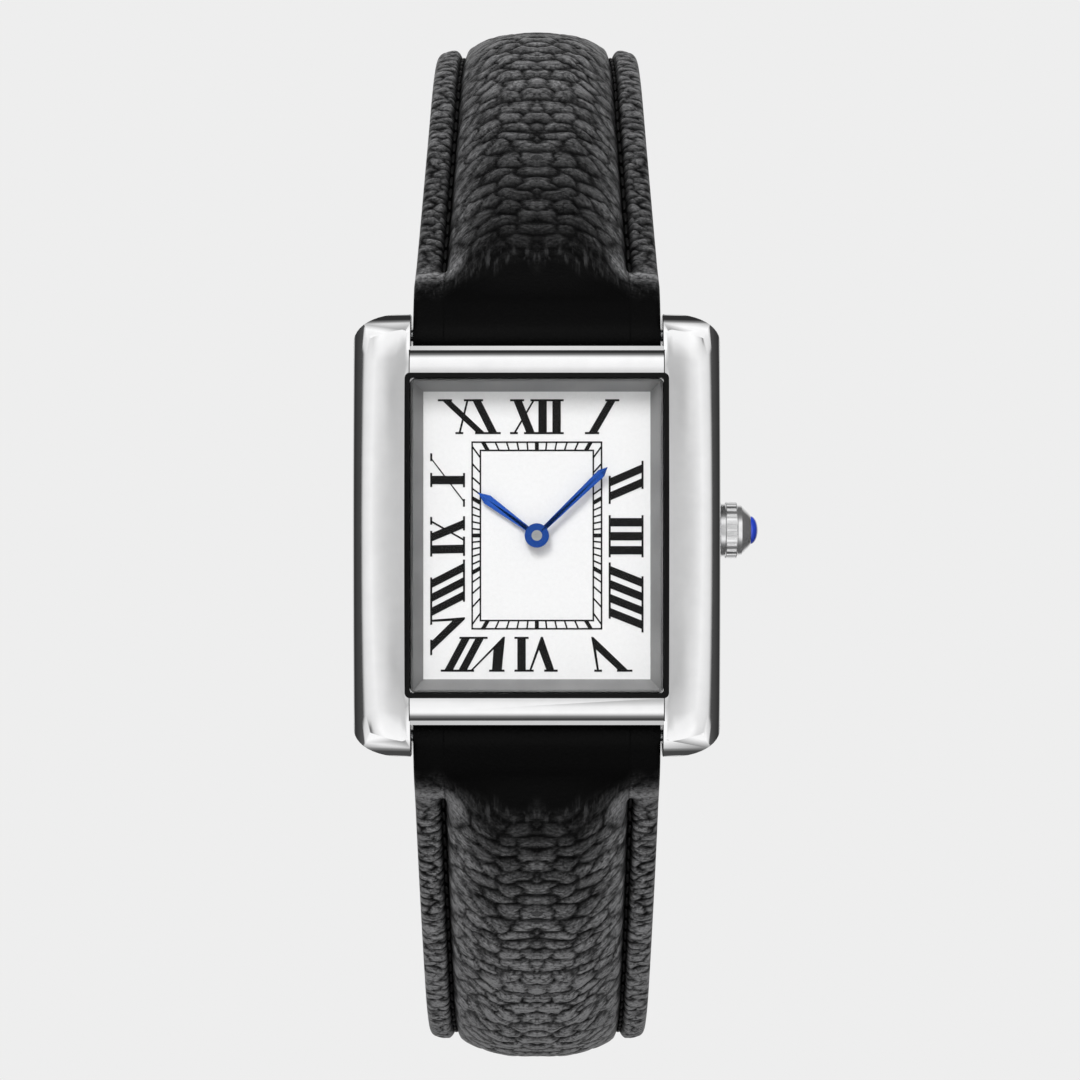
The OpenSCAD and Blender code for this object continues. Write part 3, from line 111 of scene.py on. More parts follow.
class Strap:
    """One half of the strap: its path, width, padding and stitch line, in millimetres."""

    def __init__(self, upper):
        self.upper = upper
        self.run = UPPER_RUN if upper else LOWER_RUN
        self.back_r = UPPER_BACK_R if upper else LOWER_BACK_R
        self.length = UPPER_LEN if upper else LOWER_LEN
        self.end = self.length - BUCKLE_END if upper else self.length
        self.pad_end = 40.0 if upper else 60.0
        self.sign = 1.0 if upper else -1.0
        self.name = "upper" if upper else "lower"
        self.body = self.name + "_strap"

    def at(self, s):
        """Point and slope of the path at a length s."""
        y, z, a = BAR_Y, BAR_Z, math.radians(LUG_SLOPE)
        left = s
        for length, turn in self.run:
            step = min(left, length)
            r = length / math.radians(turn)
            b = a + step / r
            y, z = y + r * (math.sin(b) - math.sin(a)), z - r * (math.cos(a) - math.cos(b))
            a, left = b, left - step
            if left <= 0:
                return y, z, a
        r = self.back_r
        b = a + left / r
        return y + r * (math.sin(b) - math.sin(a)), z - r * (math.cos(a) - math.cos(b)), b

    def place(self, x, s, h):
        """Row-frame point in metres, at x across, s along and h outwards."""
        y, z, a = self.at(s)
        y, z = y + h * math.sin(a), z + h * math.cos(a)
        return Vector((x, -z, self.sign * y)) * MM

    def half_w(self, s):
        t = np.clip((np.asarray(s, float) - FULL_WIDTH_LEN) / (self.length - FULL_WIDTH_LEN), 0.0, 1.0)
        if self.upper:
            return (STRAP_END_W + (STRAP_W - STRAP_END_W) * (1.0 - t) ** 2.2) / 2.0
        tip = np.clip((s - self.length + TIP_ROUND) / TIP_ROUND, 0.0, 1.0)
        return (STRAP_W - (STRAP_W - STRAP_END_W) * t**1.7) / 2.0 * np.sqrt(np.maximum(0.02, 1.0 - tip * tip))

    def seam(self, s):
        """Distance of the stitched groove from the middle line."""
        s = np.asarray(s, float)
        if self.upper:
            return self.half_w(s) - BORDER_W
        start = self.length - TIP_ROUND
        t = np.clip((s - start) / (TIP_ROUND - BORDER_W), 0.0, 1.0)
        return (self.half_w(np.minimum(s, start)) - BORDER_W) * np.sqrt(np.maximum(0.0, 1.0 - t * t))

    def rim(self, s):
        return BORDER_TOP + (ROLL_R - BORDER_TOP) * (1.0 - ease(1.6, 6.5, s))

    def pad(self, s):
        return PAD_RISE * ease(2.0, 6.0, s) * (1.0 - ease(self.pad_end, self.pad_end + PAD_FADE, s))


UPPER, LOWER = Strap(True), Strap(False)
HALVES = (UPPER, LOWER)


# Settings a user would change

def colour_setting(name, description, default):
    return FloatVectorProperty(
        name=name, description=description, subtype="COLOR", default=default, min=0, max=1)


def length_setting(name, description, default, low, high):
    """A length, given here in millimetres."""
    return FloatProperty(
        name=name, description=description, unit="LENGTH", default=default * MM, min=low * MM, max=high * MM)


def power_setting(name, description, default):
    return FloatProperty(name=name, description=description, unit="POWER", default=default, min=0, max=20)


class WatchLeatherSettings(bpy.types.PropertyGroup):
    leather: colour_setting("Leather", "Colour of the strap's top leather", (0.048, 0.048, 0.049))
    lining: colour_setting("Lining", "Colour of the leather against the wrist", (0.030, 0.024, 0.021))
    relief: length_setting("Relief", "Height of the leather's scales", 0.27, 0.0, 0.6)
    grid: length_setting("Mesh step", "Spacing of the leather's points along the strap", 0.17, 0.1, 1.0)


class WatchStitchSettings(bpy.types.PropertyGroup):
    pitch: length_setting("Stitch pitch", "Distance from stitch to stitch", 1.45, 0.8, 4.0)
    length: length_setting("Stitch length", "Length of the thread that shows", 1.15, 0.5, 3.5)
    thread: length_setting("Thread", "Diameter of the thread", 0.3, 0.1, 0.6)
    colour: colour_setting("Thread colour", "Colour of the thread", (0.005, 0.005, 0.005))


class WatchMetalSettings(bpy.types.PropertyGroup):
    steel: colour_setting("Steel", "Colour of the polished steel", (0.90, 0.90, 0.905))
    blue: colour_setting("Blued steel", "Colour of the hands", (0.030, 0.115, 0.52))
    edge: length_setting("Edge rounding", "Width of the rounding on steel edges", 0.05, 0.01, 0.3)
    edge_steps: IntProperty(
        name="Edge steps", description="Faces across a rounded edge", default=3, min=1, max=6)


class WatchDialSettings(bpy.types.PropertyGroup):
    dial: colour_setting("Dial", "Colour of the dial's lacquer", (0.90, 0.90, 0.90))
    ink: colour_setting("Ink", "Colour of the numerals and the minute track", (0.008, 0.008, 0.008))


class WatchStageSettings(bpy.types.PropertyGroup):
    background: FloatProperty(
        name="Background", description="Brightness of the backdrop that the camera sees",
        default=0.855, min=0, max=1)
    key: power_setting("Key light", "Power of the softbox at the upper left", 0.92)
    fill: power_setting("Fill light", "Power of the softbox beside the camera", 0.60)
    strip: power_setting("Strip light", "Power of the strip behind and above the strap", 0.8)


def settings(name):
    return getattr(bpy.context.scene, "watch_" + name)


# Materials

class NodeTree:
    """Short ways to add nodes to a tree and to set or link their inputs."""

    def __init__(self, tree):
        self.tree = tree

    def put(self, value, socket):
        """Sets an input, or links it where the value is another node's output."""
        if isinstance(value, bpy.types.NodeSocket):
            self.tree.links.new(value, socket)
        else:
            socket.default_value = value

    def node(self, kind, inputs=(), **values):
        """A new node with its properties and then its inputs, by name or number."""
        made = self.tree.nodes.new(kind)
        for key, value in values.items():
            setattr(made, key, value)
        for place, value in dict(inputs).items():
            self.put(value, made.inputs[place])
        return made

    def math(self, operation, *values):
        return self.node("ShaderNodeMath", enumerate(values), operation=operation).outputs[0]

    def ramp(self, factor, low, high, from_min=0.0, from_max=1.0, curve="LINEAR"):
        """Maps a factor to numbers from low to high."""
        span = {"Value": factor, "From Min": from_min, "From Max": from_max, "To Min": low, "To Max": high}
        return self.node("ShaderNodeMapRange", span, interpolation_type=curve).outputs["Result"]


class Shader(NodeTree):
    """A new material with its Principled shader, and short ways to texture it."""

    def __init__(self, name, colour, roughness, metallic=0.0, **inputs):
        self.mat = bpy.data.materials.new(name)
        self.mat.use_nodes = True
        super().__init__(self.mat.node_tree)
        self.bsdf = self.tree.nodes["Principled BSDF"]
        self.paint((*colour[:3], 1.0))
        self.gloss(roughness)
        self.set("Metallic", metallic)
        for key, value in inputs.items():
            self.set(key.replace("_", " ").title().replace("Ior", "IOR"), value)
        self.coords = self.node("ShaderNodeTexCoord").outputs["Object"]

    def set(self, name, value):
        self.put(value, self.bsdf.inputs[name])

    def paint(self, value):
        self.set("Base Color", value)

    def gloss(self, value):
        self.set("Roughness", value)

    def stretched(self, scale, vector=None):
        inputs = {"Vector": vector or self.coords, "Scale": scale}
        return self.node("ShaderNodeMapping", inputs).outputs["Vector"]

    def noise(self, scale, detail=4.0, rough=0.55, vector=None):
        inputs = {"Vector": vector or self.coords, "Scale": scale, "Detail": detail, "Roughness": rough}
        return self.node("ShaderNodeTexNoise", inputs).outputs["Fac"]

    def colours(self, factor, stops):
        made = self.node("ShaderNodeValToRGB", {"Fac": factor})
        band = made.color_ramp
        while len(band.elements) < len(stops):
            band.elements.new(0.5)
        for element, (place, colour) in zip(band.elements, stops):
            element.position = place
            element.color = (*colour[:3], 1.0)
        return made.outputs["Color"]

    def bump(self, height, strength, distance, before=None):
        inputs = {"Height": height, "Strength": strength, "Distance": distance}
        if before:
            inputs["Normal"] = before
        normal = self.node("ShaderNodeBump", inputs).outputs["Normal"]
        self.set("Normal", normal)
        return normal


def shade(colour, k):
    return tuple(min(1.0, c * k) for c in colour[:3])


def textured(name, colour, marks, tones, gloss=None, bump=None, patches=None, relief=None,
             roughness=0.5, metallic=0.0, **inputs):
    """A finish with fine marks.

    The tones follow the marks or patches of their own, and the bump follows the marks or a relief.
    """
    s = Shader(name, colour, roughness, metallic, **inputs)
    fine = s.noise(*marks)
    low, high = (shade(colour, k) if isinstance(k, float) else k for k in tones)
    s.paint(s.colours(s.noise(*patches) if patches else fine, ((0.3, low), (0.7, high))))
    if gloss:
        s.gloss(s.ramp(fine, *gloss))
    if bump:
        s.bump(s.noise(*relief) if relief else fine, *bump)


def polished(name, colour, roughness, spread=0.05, metallic=1.0):
    """Polished metal with faint wiping marks."""
    textured(name, colour, (900.0, 6.0), (0.97, 1.02), (roughness - spread * 0.4, roughness + spread),
             (0.02, 0.00002), relief=(2600.0, 3.0), roughness=roughness, metallic=metallic)


def brushed(name, colour, along=(1, 1, 40), roughness=0.28):
    """Satin metal: fine parallel lines across the axis with the large factor."""
    s = Shader(name, colour, roughness, 1.0)
    lines = s.noise(900.0, 5.0, vector=s.stretched(along))
    s.gloss(s.ramp(lines, roughness * 0.8, roughness * 1.35))
    s.paint(s.colours(lines, ((0.25, shade(colour, 0.88)), (0.75, shade(colour, 1.06)))))
    s.bump(lines, 0.12, 0.00003)


def moulded(name, colour, roughness=0.5, ior=1.45):
    """Rubber, plastic and ink with a fine grain."""
    textured(name, colour, (2500.0, 4.0), (0.9, 1.08), (roughness * 0.85, min(1.0, roughness * 1.2)),
             (0.15, 0.00003), patches=(400.0, 3.0), roughness=roughness, ior=ior)


def wound(name, colour):
    """Fine wire wound round the coil's core, which lies along X."""
    s = Shader(name, colour, 0.3, 1.0)
    turns = {"Scale": 2500.0, "Vector": s.coords}
    wave = s.node("ShaderNodeTexWave", turns, wave_type="BANDS", bands_direction="X").outputs["Fac"]
    s.paint(s.colours(wave, ((0.1, shade(colour, 0.45)), (0.7, shade(colour, 1.1)))))
    s.bump(wave, 0.4, 0.00003)


def clear_glass(name):
    """Clear sheet: light passes straight through, and more of it is mirrored the flatter one looks."""
    s = Shader(name, (0.97, 0.98, 1.0), 0.02, 1.0)
    s.gloss(s.ramp(s.noise(700.0, 2.0), 0.015, 0.03))
    s.set("Alpha", s.node("ShaderNodeFresnel", {"IOR": 1.12}).outputs["Fac"])
    s.mat.surface_render_method = "BLENDED"


LEATHER_GLOSS = 0.42


def leather(name, colour, mapped=True, grit=1.0):
    """Grained leather with painted highlights on its scale tops and painted shade in its creases, plain near
    the case and painted darker there.

    Mapped leather follows the cells, tone and plain share that the strap's mesh carries.
    """
    s = Shader(name, colour, LEATHER_GLOSS, ior=1.45)

    def carried(title, output):
        return s.node("ShaderNodeAttribute", attribute_name=title).outputs[output]

    cells = carried("cells", "Vector") if mapped else s.stretched((800, 800, 800))
    tone = carried("tone", "Fac") if mapped else s.ramp(s.noise(900.0), 0.45, 0.65)
    plain = carried("plain", "Fac")
    grained = s.math("SUBTRACT", 1.0, plain)

    # Small cells inside the scales, in some places only
    wobble = s.node("ShaderNodeTexNoise", {"Scale": 3.5, "Vector": cells}).outputs["Color"]
    moved = enumerate((wobble, (0.45, 0.45, 0.0), cells))
    warped = s.node("ShaderNodeVectorMath", moved, operation="MULTIPLY_ADD")
    packed = {"Scale": 2.6, "Randomness": 0.85, "Vector": warped.outputs["Vector"]}
    folds = s.node("ShaderNodeTexVoronoi", packed, feature="DISTANCE_TO_EDGE", voronoi_dimensions="2D")
    small = folds.outputs["Distance"]
    patchy = s.ramp(s.noise(0.8, 3.0, 0.5, cells), 0.1, 1.0, 0.38, 0.62)
    fine = s.math("MULTIPLY", s.ramp(small, 0.6, 0.0, 0.0, 0.12), patchy)

    pores = s.noise(6.0, 6.0, 0.65, cells)
    speckle = s.ramp(pores, 0.5 - 0.38 * grit, 0.6 + 0.3 * grit, 0.32, 0.68)
    mottled = s.math("MULTIPLY", s.math("SUBTRACT", 1.0, fine), speckle)
    # Colour of the grained leather from the tone and speckle; on the strap the tone carries painted
    # highlights on the scale tops and painted shade in the creases and near the case
    tone_with_painted_shade = s.colours(s.math("MULTIPLY", tone, mottled), (
        (0.0, shade(colour, 0.03)), (0.11, shade(colour, 0.3)), (0.28, shade(colour, 1.1)),
        (0.5, shade(colour, 2.6)), (1.0, shade(colour, 6.5))))

    # Painted highlight streaks where the scales end, on plain leather that is painted near-black as shade
    # near the case
    streak = s.noise(1.0, 3.0, 0.6, s.stretched((5.0, 0.8, 1.0), cells))
    none, full = (0.0, 0.0, 0.0), (1.0, 1.0, 1.0)
    fringe = s.colours(plain, ((0.4, none), (0.72, full), (0.93, full), (0.995, none)))
    light = s.math("MULTIPLY", s.ramp(streak, 0.0, 1.0, 0.52, 0.8), fringe)
    painted_plain_leather = s.colours(light, ((0.0, shade(colour, 0.05)), (1.0, shade(colour, 1.2))))

    blend = s.node("ShaderNodeMix", {"Factor": plain}, data_type="RGBA")
    s.put(tone_with_painted_shade, blend.inputs["A"])
    s.put(painted_plain_leather, blend.inputs["B"])
    s.paint(blend.outputs["Result"])
    s.set("Specular IOR Level", s.ramp(s.math("MULTIPLY", tone, grained), 0.09, 0.5, 0.1, 0.9))
    s.gloss(s.ramp(pores, LEATHER_GLOSS * 0.8, LEATHER_GLOSS * 1.25, 0.3, 0.7))
    puffed = s.math("MULTIPLY", s.ramp(small, 0.0, 1.0, 0.0, 0.3), s.math("MULTIPLY", patchy, grained))
    second = s.bump(puffed, 0.9 * grit, 0.00008)
    third = s.bump(s.math("MULTIPLY", streak, fringe), 0.8 * grit, 0.00012, second)
    s.bump(s.noise(7.0, 7.0, 0.65, cells), 0.7 * grit, 0.00007, third)


def finishes():
    """One material for each material slot of the record, and the strap's thread."""
    metal, dial, hide = settings("metal"), settings("dial"), settings("leather")
    brass, steel, grey_steel = (0.80, 0.62, 0.27), tuple(metal.steel), (0.6, 0.61, 0.62)
    polished("case_steel", steel, 0.07, 0.03)
    brushed("back_steel", (0.62, 0.62, 0.63), (30, 30, 1))
    polished("screw_steel", (0.58, 0.58, 0.60), 0.16)
    polished("crown_steel", steel, 0.13, metallic=0.86)
    polished("buckle_steel", shade(steel, 0.85), 0.14)
    polished("blued_steel", tuple(metal.blue), 0.22)
    brushed("bar_steel", grey_steel, (40, 1, 1), 0.25)
    brushed("work_steel", grey_steel, (1, 1, 20))
    brushed("gear_brass", brass, (20, 1, 1), 0.25)
    brushed("plate_brass", shade(brass, 0.9), (1, 1, 25), 0.35)
    brushed("cell_steel", (0.68, 0.69, 0.70), (20, 1, 1))
    wound("coil_copper", (0.6, 0.28, 0.12))
    moulded("seal_black", (0.006, 0.006, 0.006), 0.6, ior=1.2)
    moulded("ink_black", tuple(dial.ink), ior=1.2)
    moulded("board_green", (0.03, 0.16, 0.06), 0.35)
    moulded("chip_black", (0.02, 0.02, 0.02), 0.55)
    moulded("holder_plastic", (0.04, 0.04, 0.045))
    clear_glass("glass")
    textured("ring_grey", (0.30, 0.30, 0.30), (700.0, 4.0), (0.95, 1.05), (0.5, 0.62), (0.1, 0.00002),
             relief=(3000.0,), metallic=0.25)
    textured("dial_white", tuple(dial.dial), (4200.0, 5.0, 0.7), (0.965, 1.02), bump=(0.25, 0.00003),
             roughness=0.55)
    textured("blue_stone", (0.02, 0.07, 0.62), (500.0, 3.0), ((0.010, 0.035, 0.42), (0.030, 0.09, 0.75)),
             (0.04, 0.09), roughness=0.05, coat_weight=1.0, coat_roughness=0.02)
    textured("strap_lining", tuple(hide.lining), (1800.0, 6.0), (0.75, 1.3), (0.5, 0.72), (0.35, 0.00006),
             patches=(200.0, 4.0), roughness=0.6)
    textured("pad_felt", (0.6, 0.56, 0.5), (1500.0, 6.0), ((0.48, 0.44, 0.39), (0.66, 0.62, 0.56)),
             bump=(0.5, 0.0001), roughness=0.9)
    textured("strap_thread", tuple(settings("stitch").colour), (5200.0, 3.0), (0.6, 1.8),
             bump=(0.5, 0.00004), roughness=0.55)
    leather("strap_leather", tuple(hide.leather))
    leather("keeper_leather", tuple(hide.leather), False, grit=0.3)


def slot_of(node):
    for part in frame["record"]["subparts"]:
        if part["node"] == node:
            return part["material_slot"]
    raise RuntimeError("no material slot for " + node)


def body_of(node):
    for body, nodes in frame["record"]["behaviour"]["bodies"].items():
        if node in nodes:
            return body
    raise RuntimeError("no body for " + node)


def give(piece, slot):
    piece.data.materials.clear()
    piece.data.materials.append(bpy.data.materials[slot])


# Mesh helpers

def new_piece(name, points, faces, edges=()):
    mesh = bpy.data.meshes.new(name)
    mesh.from_pydata([tuple(p) for p in points], edges, faces)
    mesh.validate()
    mesh.update()
    piece = bpy.data.objects.new(name, mesh)
    bpy.context.scene.collection.objects.link(piece)
    return piece


def rings_to_faces(count, size, closed=False):
    """Quads between rings of the same size, with end caps unless the rings close on themselves."""
    faces = []
    for i in range(count if closed else count - 1):
        a, b = i * size, (i + 1) % count * size
        for j in range(size):
            k = (j + 1) % size
            faces.append((a + j, b + j, b + k, a + k))
    if not closed:
        half = size // 2
        for base, flip in ((0, False), ((count - 1) * size, True)):
            for j in range(half):
                quad = [base + j, base + j + 1, base + size - 2 - j, base + size - 1 - j]
                quad = list(dict.fromkeys(quad))
                if len(quad) > 2 and j + 1 <= size - 2 - j:
                    faces.append(tuple(reversed(quad)) if flip else tuple(quad))
    return faces


def outward(piece):
    """Turns a closed mesh's faces outwards."""
    bm = bmesh.new()
    bm.from_mesh(piece.data)
    bmesh.ops.recalc_face_normals(bm, faces=bm.faces)
    bm.to_mesh(piece.data)
    bm.free()


def smooth(piece, angle=35.0):
    """Smooth shading with edges sharper than the angle kept."""
    mesh = piece.data
    mesh.shade_smooth()
    bm = bmesh.new()
    bm.from_mesh(mesh)
    limit = math.radians(angle)
    for edge in bm.edges:
        edge.smooth = len(edge.link_faces) == 2 and edge.calc_face_angle(0.0) < limit
    bm.to_mesh(mesh)
    bm.free()


def baked(piece):
    """Applies every modifier of a piece to its mesh."""
    bpy.context.view_layer.update()
    graph = bpy.context.evaluated_depsgraph_get()
    mesh = bpy.data.meshes.new_from_object(piece.evaluated_get(graph))
    old = piece.data
    piece.modifiers.clear()
    piece.data = mesh
    mesh.name = piece.name
    bpy.data.meshes.remove(old)
    return piece


def dressed_copy(node, edge, steps, angle=28.0):
    """A copy of a CAD node with its triangles merged and its edges rounded."""
    source = frame["nodes"][node]
    piece = source.copy()
    piece.data = source.data.copy()
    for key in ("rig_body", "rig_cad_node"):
        if key in piece:
            del piece[key]
    piece.parent = None
    piece.name = node + "_dressed"
    bpy.context.scene.collection.objects.link(piece)
    bm = bmesh.new()
    bm.from_mesh(piece.data)
    bmesh.ops.remove_doubles(bm, verts=bm.verts, dist=0.002 * MM)
    bmesh.ops.dissolve_degenerate(bm, edges=bm.edges, dist=0.001 * MM)
    bmesh.ops.dissolve_limit(bm, angle_limit=math.radians(0.4), verts=bm.verts, edges=bm.edges)
    bm.to_mesh(piece.data)
    bm.free()
    rounding = piece.modifiers.new("rounded edges", "BEVEL")
    rounding.width = edge
    rounding.segments = steps
    rounding.limit_method = "ANGLE"
    rounding.angle_limit = math.radians(angle)
    rounding.use_clamp_overlap = True
    baked(piece)
    smooth(piece, 32.0)
    if node != "case":
        even = piece.modifiers.new("even shading", "WEIGHTED_NORMAL")
        even.keep_sharp = True
        baked(piece)
    give(piece, slot_of(node))
    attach(piece, body_of(node))
    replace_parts(piece, node)
    return piece


# Leather relief

# The lower half faces away from the softbox, and the photograph shows it as light as the upper one
# Painted light: the factor by which the lower half's leather is painted lighter
LOWER_PAINTED_LIGHT = 1.9


def jitter(i, j, k):
    """Repeatable random numbers from 0 to 1 for cell (i, j)."""
    v = np.sin(i * 127.1 + j * 311.7 + k * 74.7) * 43758.5453
    return v - np.floor(v)


def value_noise(x, y, seed):
    i, j = np.floor(x), np.floor(y)
    fx, fy = x - i, y - j
    fx, fy = fx * fx * (3 - 2 * fx), fy * fy * (3 - 2 * fy)
    a, b = jitter(i, j, seed), jitter(i + 1, j, seed)
    c, d = jitter(i, j + 1, seed), jitter(i + 1, j + 1, seed)
    return (a * (1 - fx) + b * fx) * (1 - fy) + (c * (1 - fx) + d * fx) * fy


def scale_gap(u, v):
    """Distance from the nearest crease in a pattern of irregular scales, one unit each, in offset rows."""
    i, j = np.floor(u), np.floor(v)
    first, second = np.full(u.shape, 9.0), np.full(u.shape, 9.0)
    for di in (-1, 0, 1):
        for dj in (-1, 0, 1):
            a, b = i + di, j + dj
            px = a + 0.5 + 0.5 * np.mod(b, 2) + 0.5 * (jitter(a, b, 1) - 0.5)
            py = b + 0.5 + 0.55 * (jitter(a, b, 2) - 0.5)
            d = np.hypot(u - px, v - py)
            second = np.where(d < first, first, np.minimum(second, d))
            first = np.minimum(first, d)
    return second - first


# Widths and lengths of the scales, on the pad and on the border
SCALE_W, SCALE_LEN, BORDER_SCALE_W, BORDER_SCALE_LEN = 2.3, 1.4, 1.5, 0.8


def grain_cells(strap, x, s):
    """Place of each point in the pattern of scales, which are wide on the pad and short on the border."""
    a, seam = np.abs(x), float(strap.seam(max(float(np.min(s)), 0.0)))
    across_pad = a / SCALE_W + 0.03 * a * a
    along_pad = (s + 0.8 * np.maximum(0.0, a - 2.2) ** 1.15) / SCALE_LEN
    border = a > seam + 0.1
    return (np.where(border, 31.0 + a / BORDER_SCALE_W, across_pad),
            np.where(border, s / BORDER_SCALE_LEN, along_pad))


def pillow_of(gap):
    """Height of a scale at a distance from its crease."""
    return 1.0 - (1.0 - np.clip(gap / 0.75, 0.0, 1.0)) ** 2.2


def grain(strap, x, s, relief):
    """Relief of the hide, its lightness with painted highlights on the scale tops and painted shade in the
    creases and near the case, and share of plain leather near the case.
    """
    a, seam = np.abs(x), np.maximum(strap.seam(s), 0.3)
    u, v = grain_cells(strap, x, s)
    u = u + 0.5 * (value_noise(u * 1.4, v * 1.4, 7) - 0.5) + 0.2 * (value_noise(u * 3.4, v * 3.4, 8) - 0.5)
    wave = value_noise(u * 1.5 + 9.0, v * 1.2, 3) - 0.5
    v = v + 0.5 * wave + 0.2 * (value_noise(u * 3.1, v * 3.6, 4) - 0.5)
    gap = scale_gap(u, v)
    pillow = pillow_of(gap)
    # Painted highlight on each scale's upper rim, as if lit from above
    lit = pillow - pillow_of(scale_gap(u, v + 0.3))
    deep = 0.35 + 0.65 * value_noise(u * 0.8, v * 0.8, 11)
    border = ease(-0.1, 0.25, a - seam)
    side = ease(0.55, 0.95, a / seam) * (1.0 - border)
    bend = 4.4 + 0.9 * ease(0.0, 1.5, seam + 0.4 - a)
    pinch = np.exp(-(((s - bend) / 0.8) ** 2)) * ease(-1.7, -0.3, a - seam)
    line = s - 2.0 * (1.0 - ease(0.2, 0.95, a / 6.0)) + 2.0 * (value_noise(a * 1.1, s * 0.5, 19) - 0.5)
    plain = (1.0 - ease(1.8, 7.6, line)) ** 0.7 * (1.0 - 0.85 * pinch)
    broad = value_noise(a * 0.5, s * 0.62, 5) - 0.5
    height = (pillow * deep * (1.0 - 0.5 * side) + 0.4 * broad) * (1.0 - plain)
    faint = ease(0.3, 0.7, value_noise(u * 0.9 + 5.0, v * 0.9, 29))
    crease = (1.0 - np.clip(gap / 0.15, 0.0, 1.0)) ** 0.8 * (0.15 + 0.85 * faint)
    # Painted highlight: the higher parts of each scale lighter, with random variation, and the lit rims added
    painted_top_light = 0.35 + 0.55 * pillow * (0.6 + 0.8 * value_noise(u * 1.7, v * 1.7, 23)) + 0.4 * lit * (1.0 - side)
    # Painted shade near the case that lessens along the strap, and painted sheen on the pad's sides and the
    # border
    away = ease(7.0, 30.0, s)
    middle = (0.4 + 0.65 * away) * (1.0 - side) * (1.0 - border)
    painted_light_by_place = middle + (1.0 + 0.1 * away) * side * (1.0 - border) + (0.85 + 0.3 * away) * border
    # Painted shade in the creases, and a painted highlight along the pinched fold where the pad rises beside
    # the seam
    tone_with_painted_shade = np.maximum(painted_top_light, 0.0) * painted_light_by_place * (1.0 - (0.62 + 0.33 * border) * crease)
    tone = tone_with_painted_shade + 0.9 * pinch * (1.0 - crease)
    thin = ease(34.0, 56.0, s)
    # Painted light: the lower half made lighter, and the far part of both halves set alike
    lift = (1.0 if strap.upper else LOWER_PAINTED_LIGHT) * (1.0 - thin) + 0.85 * thin
    return relief * height * (1.0 - 0.75 * thin), np.clip(lift * tone, 0.0, 2.0), plain


SEAM_W, SEAM_DEPTH, EDGE_R = 0.24, 0.5, 0.34
PAD_POINTS = 44


def across(half, seam):
    """Places across half the strap, from the middle outwards, dense where the form turns."""
    inner = max(seam, half * 0.3)
    pad = inner * (1.0 - (1.0 - np.linspace(0.0, 1.0, PAD_POINTS)) ** 1.25)
    pad = np.minimum(pad, inner - 0.02)
    groove = inner + np.linspace(0.02, 0.5, 6) * min(1.0, half / 4.0)
    border = np.linspace(groove[-1], half - min(EDGE_R, half / 4), 10)[1:]
    turn = np.sin(np.radians(np.linspace(15, 90, 6)))
    rim = border[-1] + (half - border[-1]) * turn
    return np.concatenate([pad, groove, border, rim])


def cover_top(strap, x, s, half, hide):
    """Height of the cover's top, its lightness with painted light and shade, and its plain share at the
    points (x, s).
    """
    a, seam = np.abs(x), float(strap.seam(s))
    groove_on = float(ease(4.6, 5.6, s))
    if strap.upper:
        groove_on *= 1.0 - float(ease(strap.end - SEAM_TO_END, strap.end - SEAM_TO_END + 2.0, s))
    groove_on *= float(ease(0.3, 1.4, seam))
    far = float(ease(12.0, 30.0, s))
    softness = 1.3 - 0.88 * float(ease(3.0, 6.5, s)) + 0.28 * far
    arch = (1.0 - np.clip(a / max(seam, 0.05), 0, 1) ** (3.6 - 1.4 * far)) ** softness
    arch = np.where(a < seam, arch, 0.0)
    groove = np.exp(-(((a - seam - SEAM_SHIFT) / SEAM_W) ** 2)) * groove_on
    raised, tone, plain = grain(strap, x, np.full(a.shape, s), hide.relief / MM)
    edge_r = min(EDGE_R, half / 4)
    over = np.clip((a - half + edge_r) / edge_r, 0.0, 1.0)
    drop = edge_r * (1.0 - np.sqrt(np.maximum(0.0, 1.0 - over**2)))
    swell = 1.0 - ((a - (seam + half) / 2) / max(0.2, (half - seam) / 2)) ** 2
    puff = 0.10 * swell * (a > seam) * groove_on
    skin = raised * float(ease(0.3, 3.0, s)) * ease(0.0, 0.9, half - a) * (1.0 - 0.8 * groove)
    height = float(strap.rim(s)) + float(strap.pad(s)) * arch + puff - SEAM_DEPTH * groove - drop + skin
    # Painted shade in the stitched groove: the lightness falls to nothing there
    return height, tone * np.maximum(0.0, 1.0 - 1.2 * groove), plain


def loft(name, strap, stations, profile, mapped):
    """Closed form from one closed profile of (x, height, tone, plain share) at each station."""
    points, tones, plains, cells, uv = [], [], [], [], []
    for s in stations:
        y, z, a = strap.at(s)
        x, heights, tone, plain = profile(s)
        for px, h in zip(x, heights):
            points.append((px * MM, -(z + h * math.cos(a)) * MM, strap.sign * (y + h * math.sin(a)) * MM))
            uv.append((px * MM, s * MM))
        tones.extend(tone)
        plains.extend(plain)
        for pair in zip(*grain_cells(strap, np.asarray(x), s)):
            cells.extend((*pair, 0.0))
    piece = new_piece(name, points, rings_to_faces(len(stations), len(x)))
    mesh = piece.data
    if mapped:
        for title, kind, field, values in (
            ("tone", "FLOAT", "value", tones), ("plain", "FLOAT", "value", plains),
            ("cells", "FLOAT_VECTOR", "vector", cells),
        ):
            layer = mesh.attributes.new(title, kind, "POINT")
            layer.data.foreach_set(field, np.array(values, np.float32))
    flat = mesh.uv_layers.new(name="strap")
    for loop in mesh.loops:
        flat.data[loop.index].uv = uv[loop.vertex_index]
    outward(piece)
    mesh.shade_smooth()
    return piece


def cut(piece, cutters):
    """Takes the cutters out of a closed piece."""
    tool = cutters[0]
    if len(cutters) > 1:
        with bpy.context.temp_override(active_object=tool, selected_editable_objects=cutters):
            bpy.ops.object.join()
    boolean = piece.modifiers.new("holes", "BOOLEAN")
    boolean.object = tool
    boolean.operation = "DIFFERENCE"
    boolean.solver = "MANIFOLD"
    baked(piece)
    bpy.data.objects.remove(tool)
    return piece


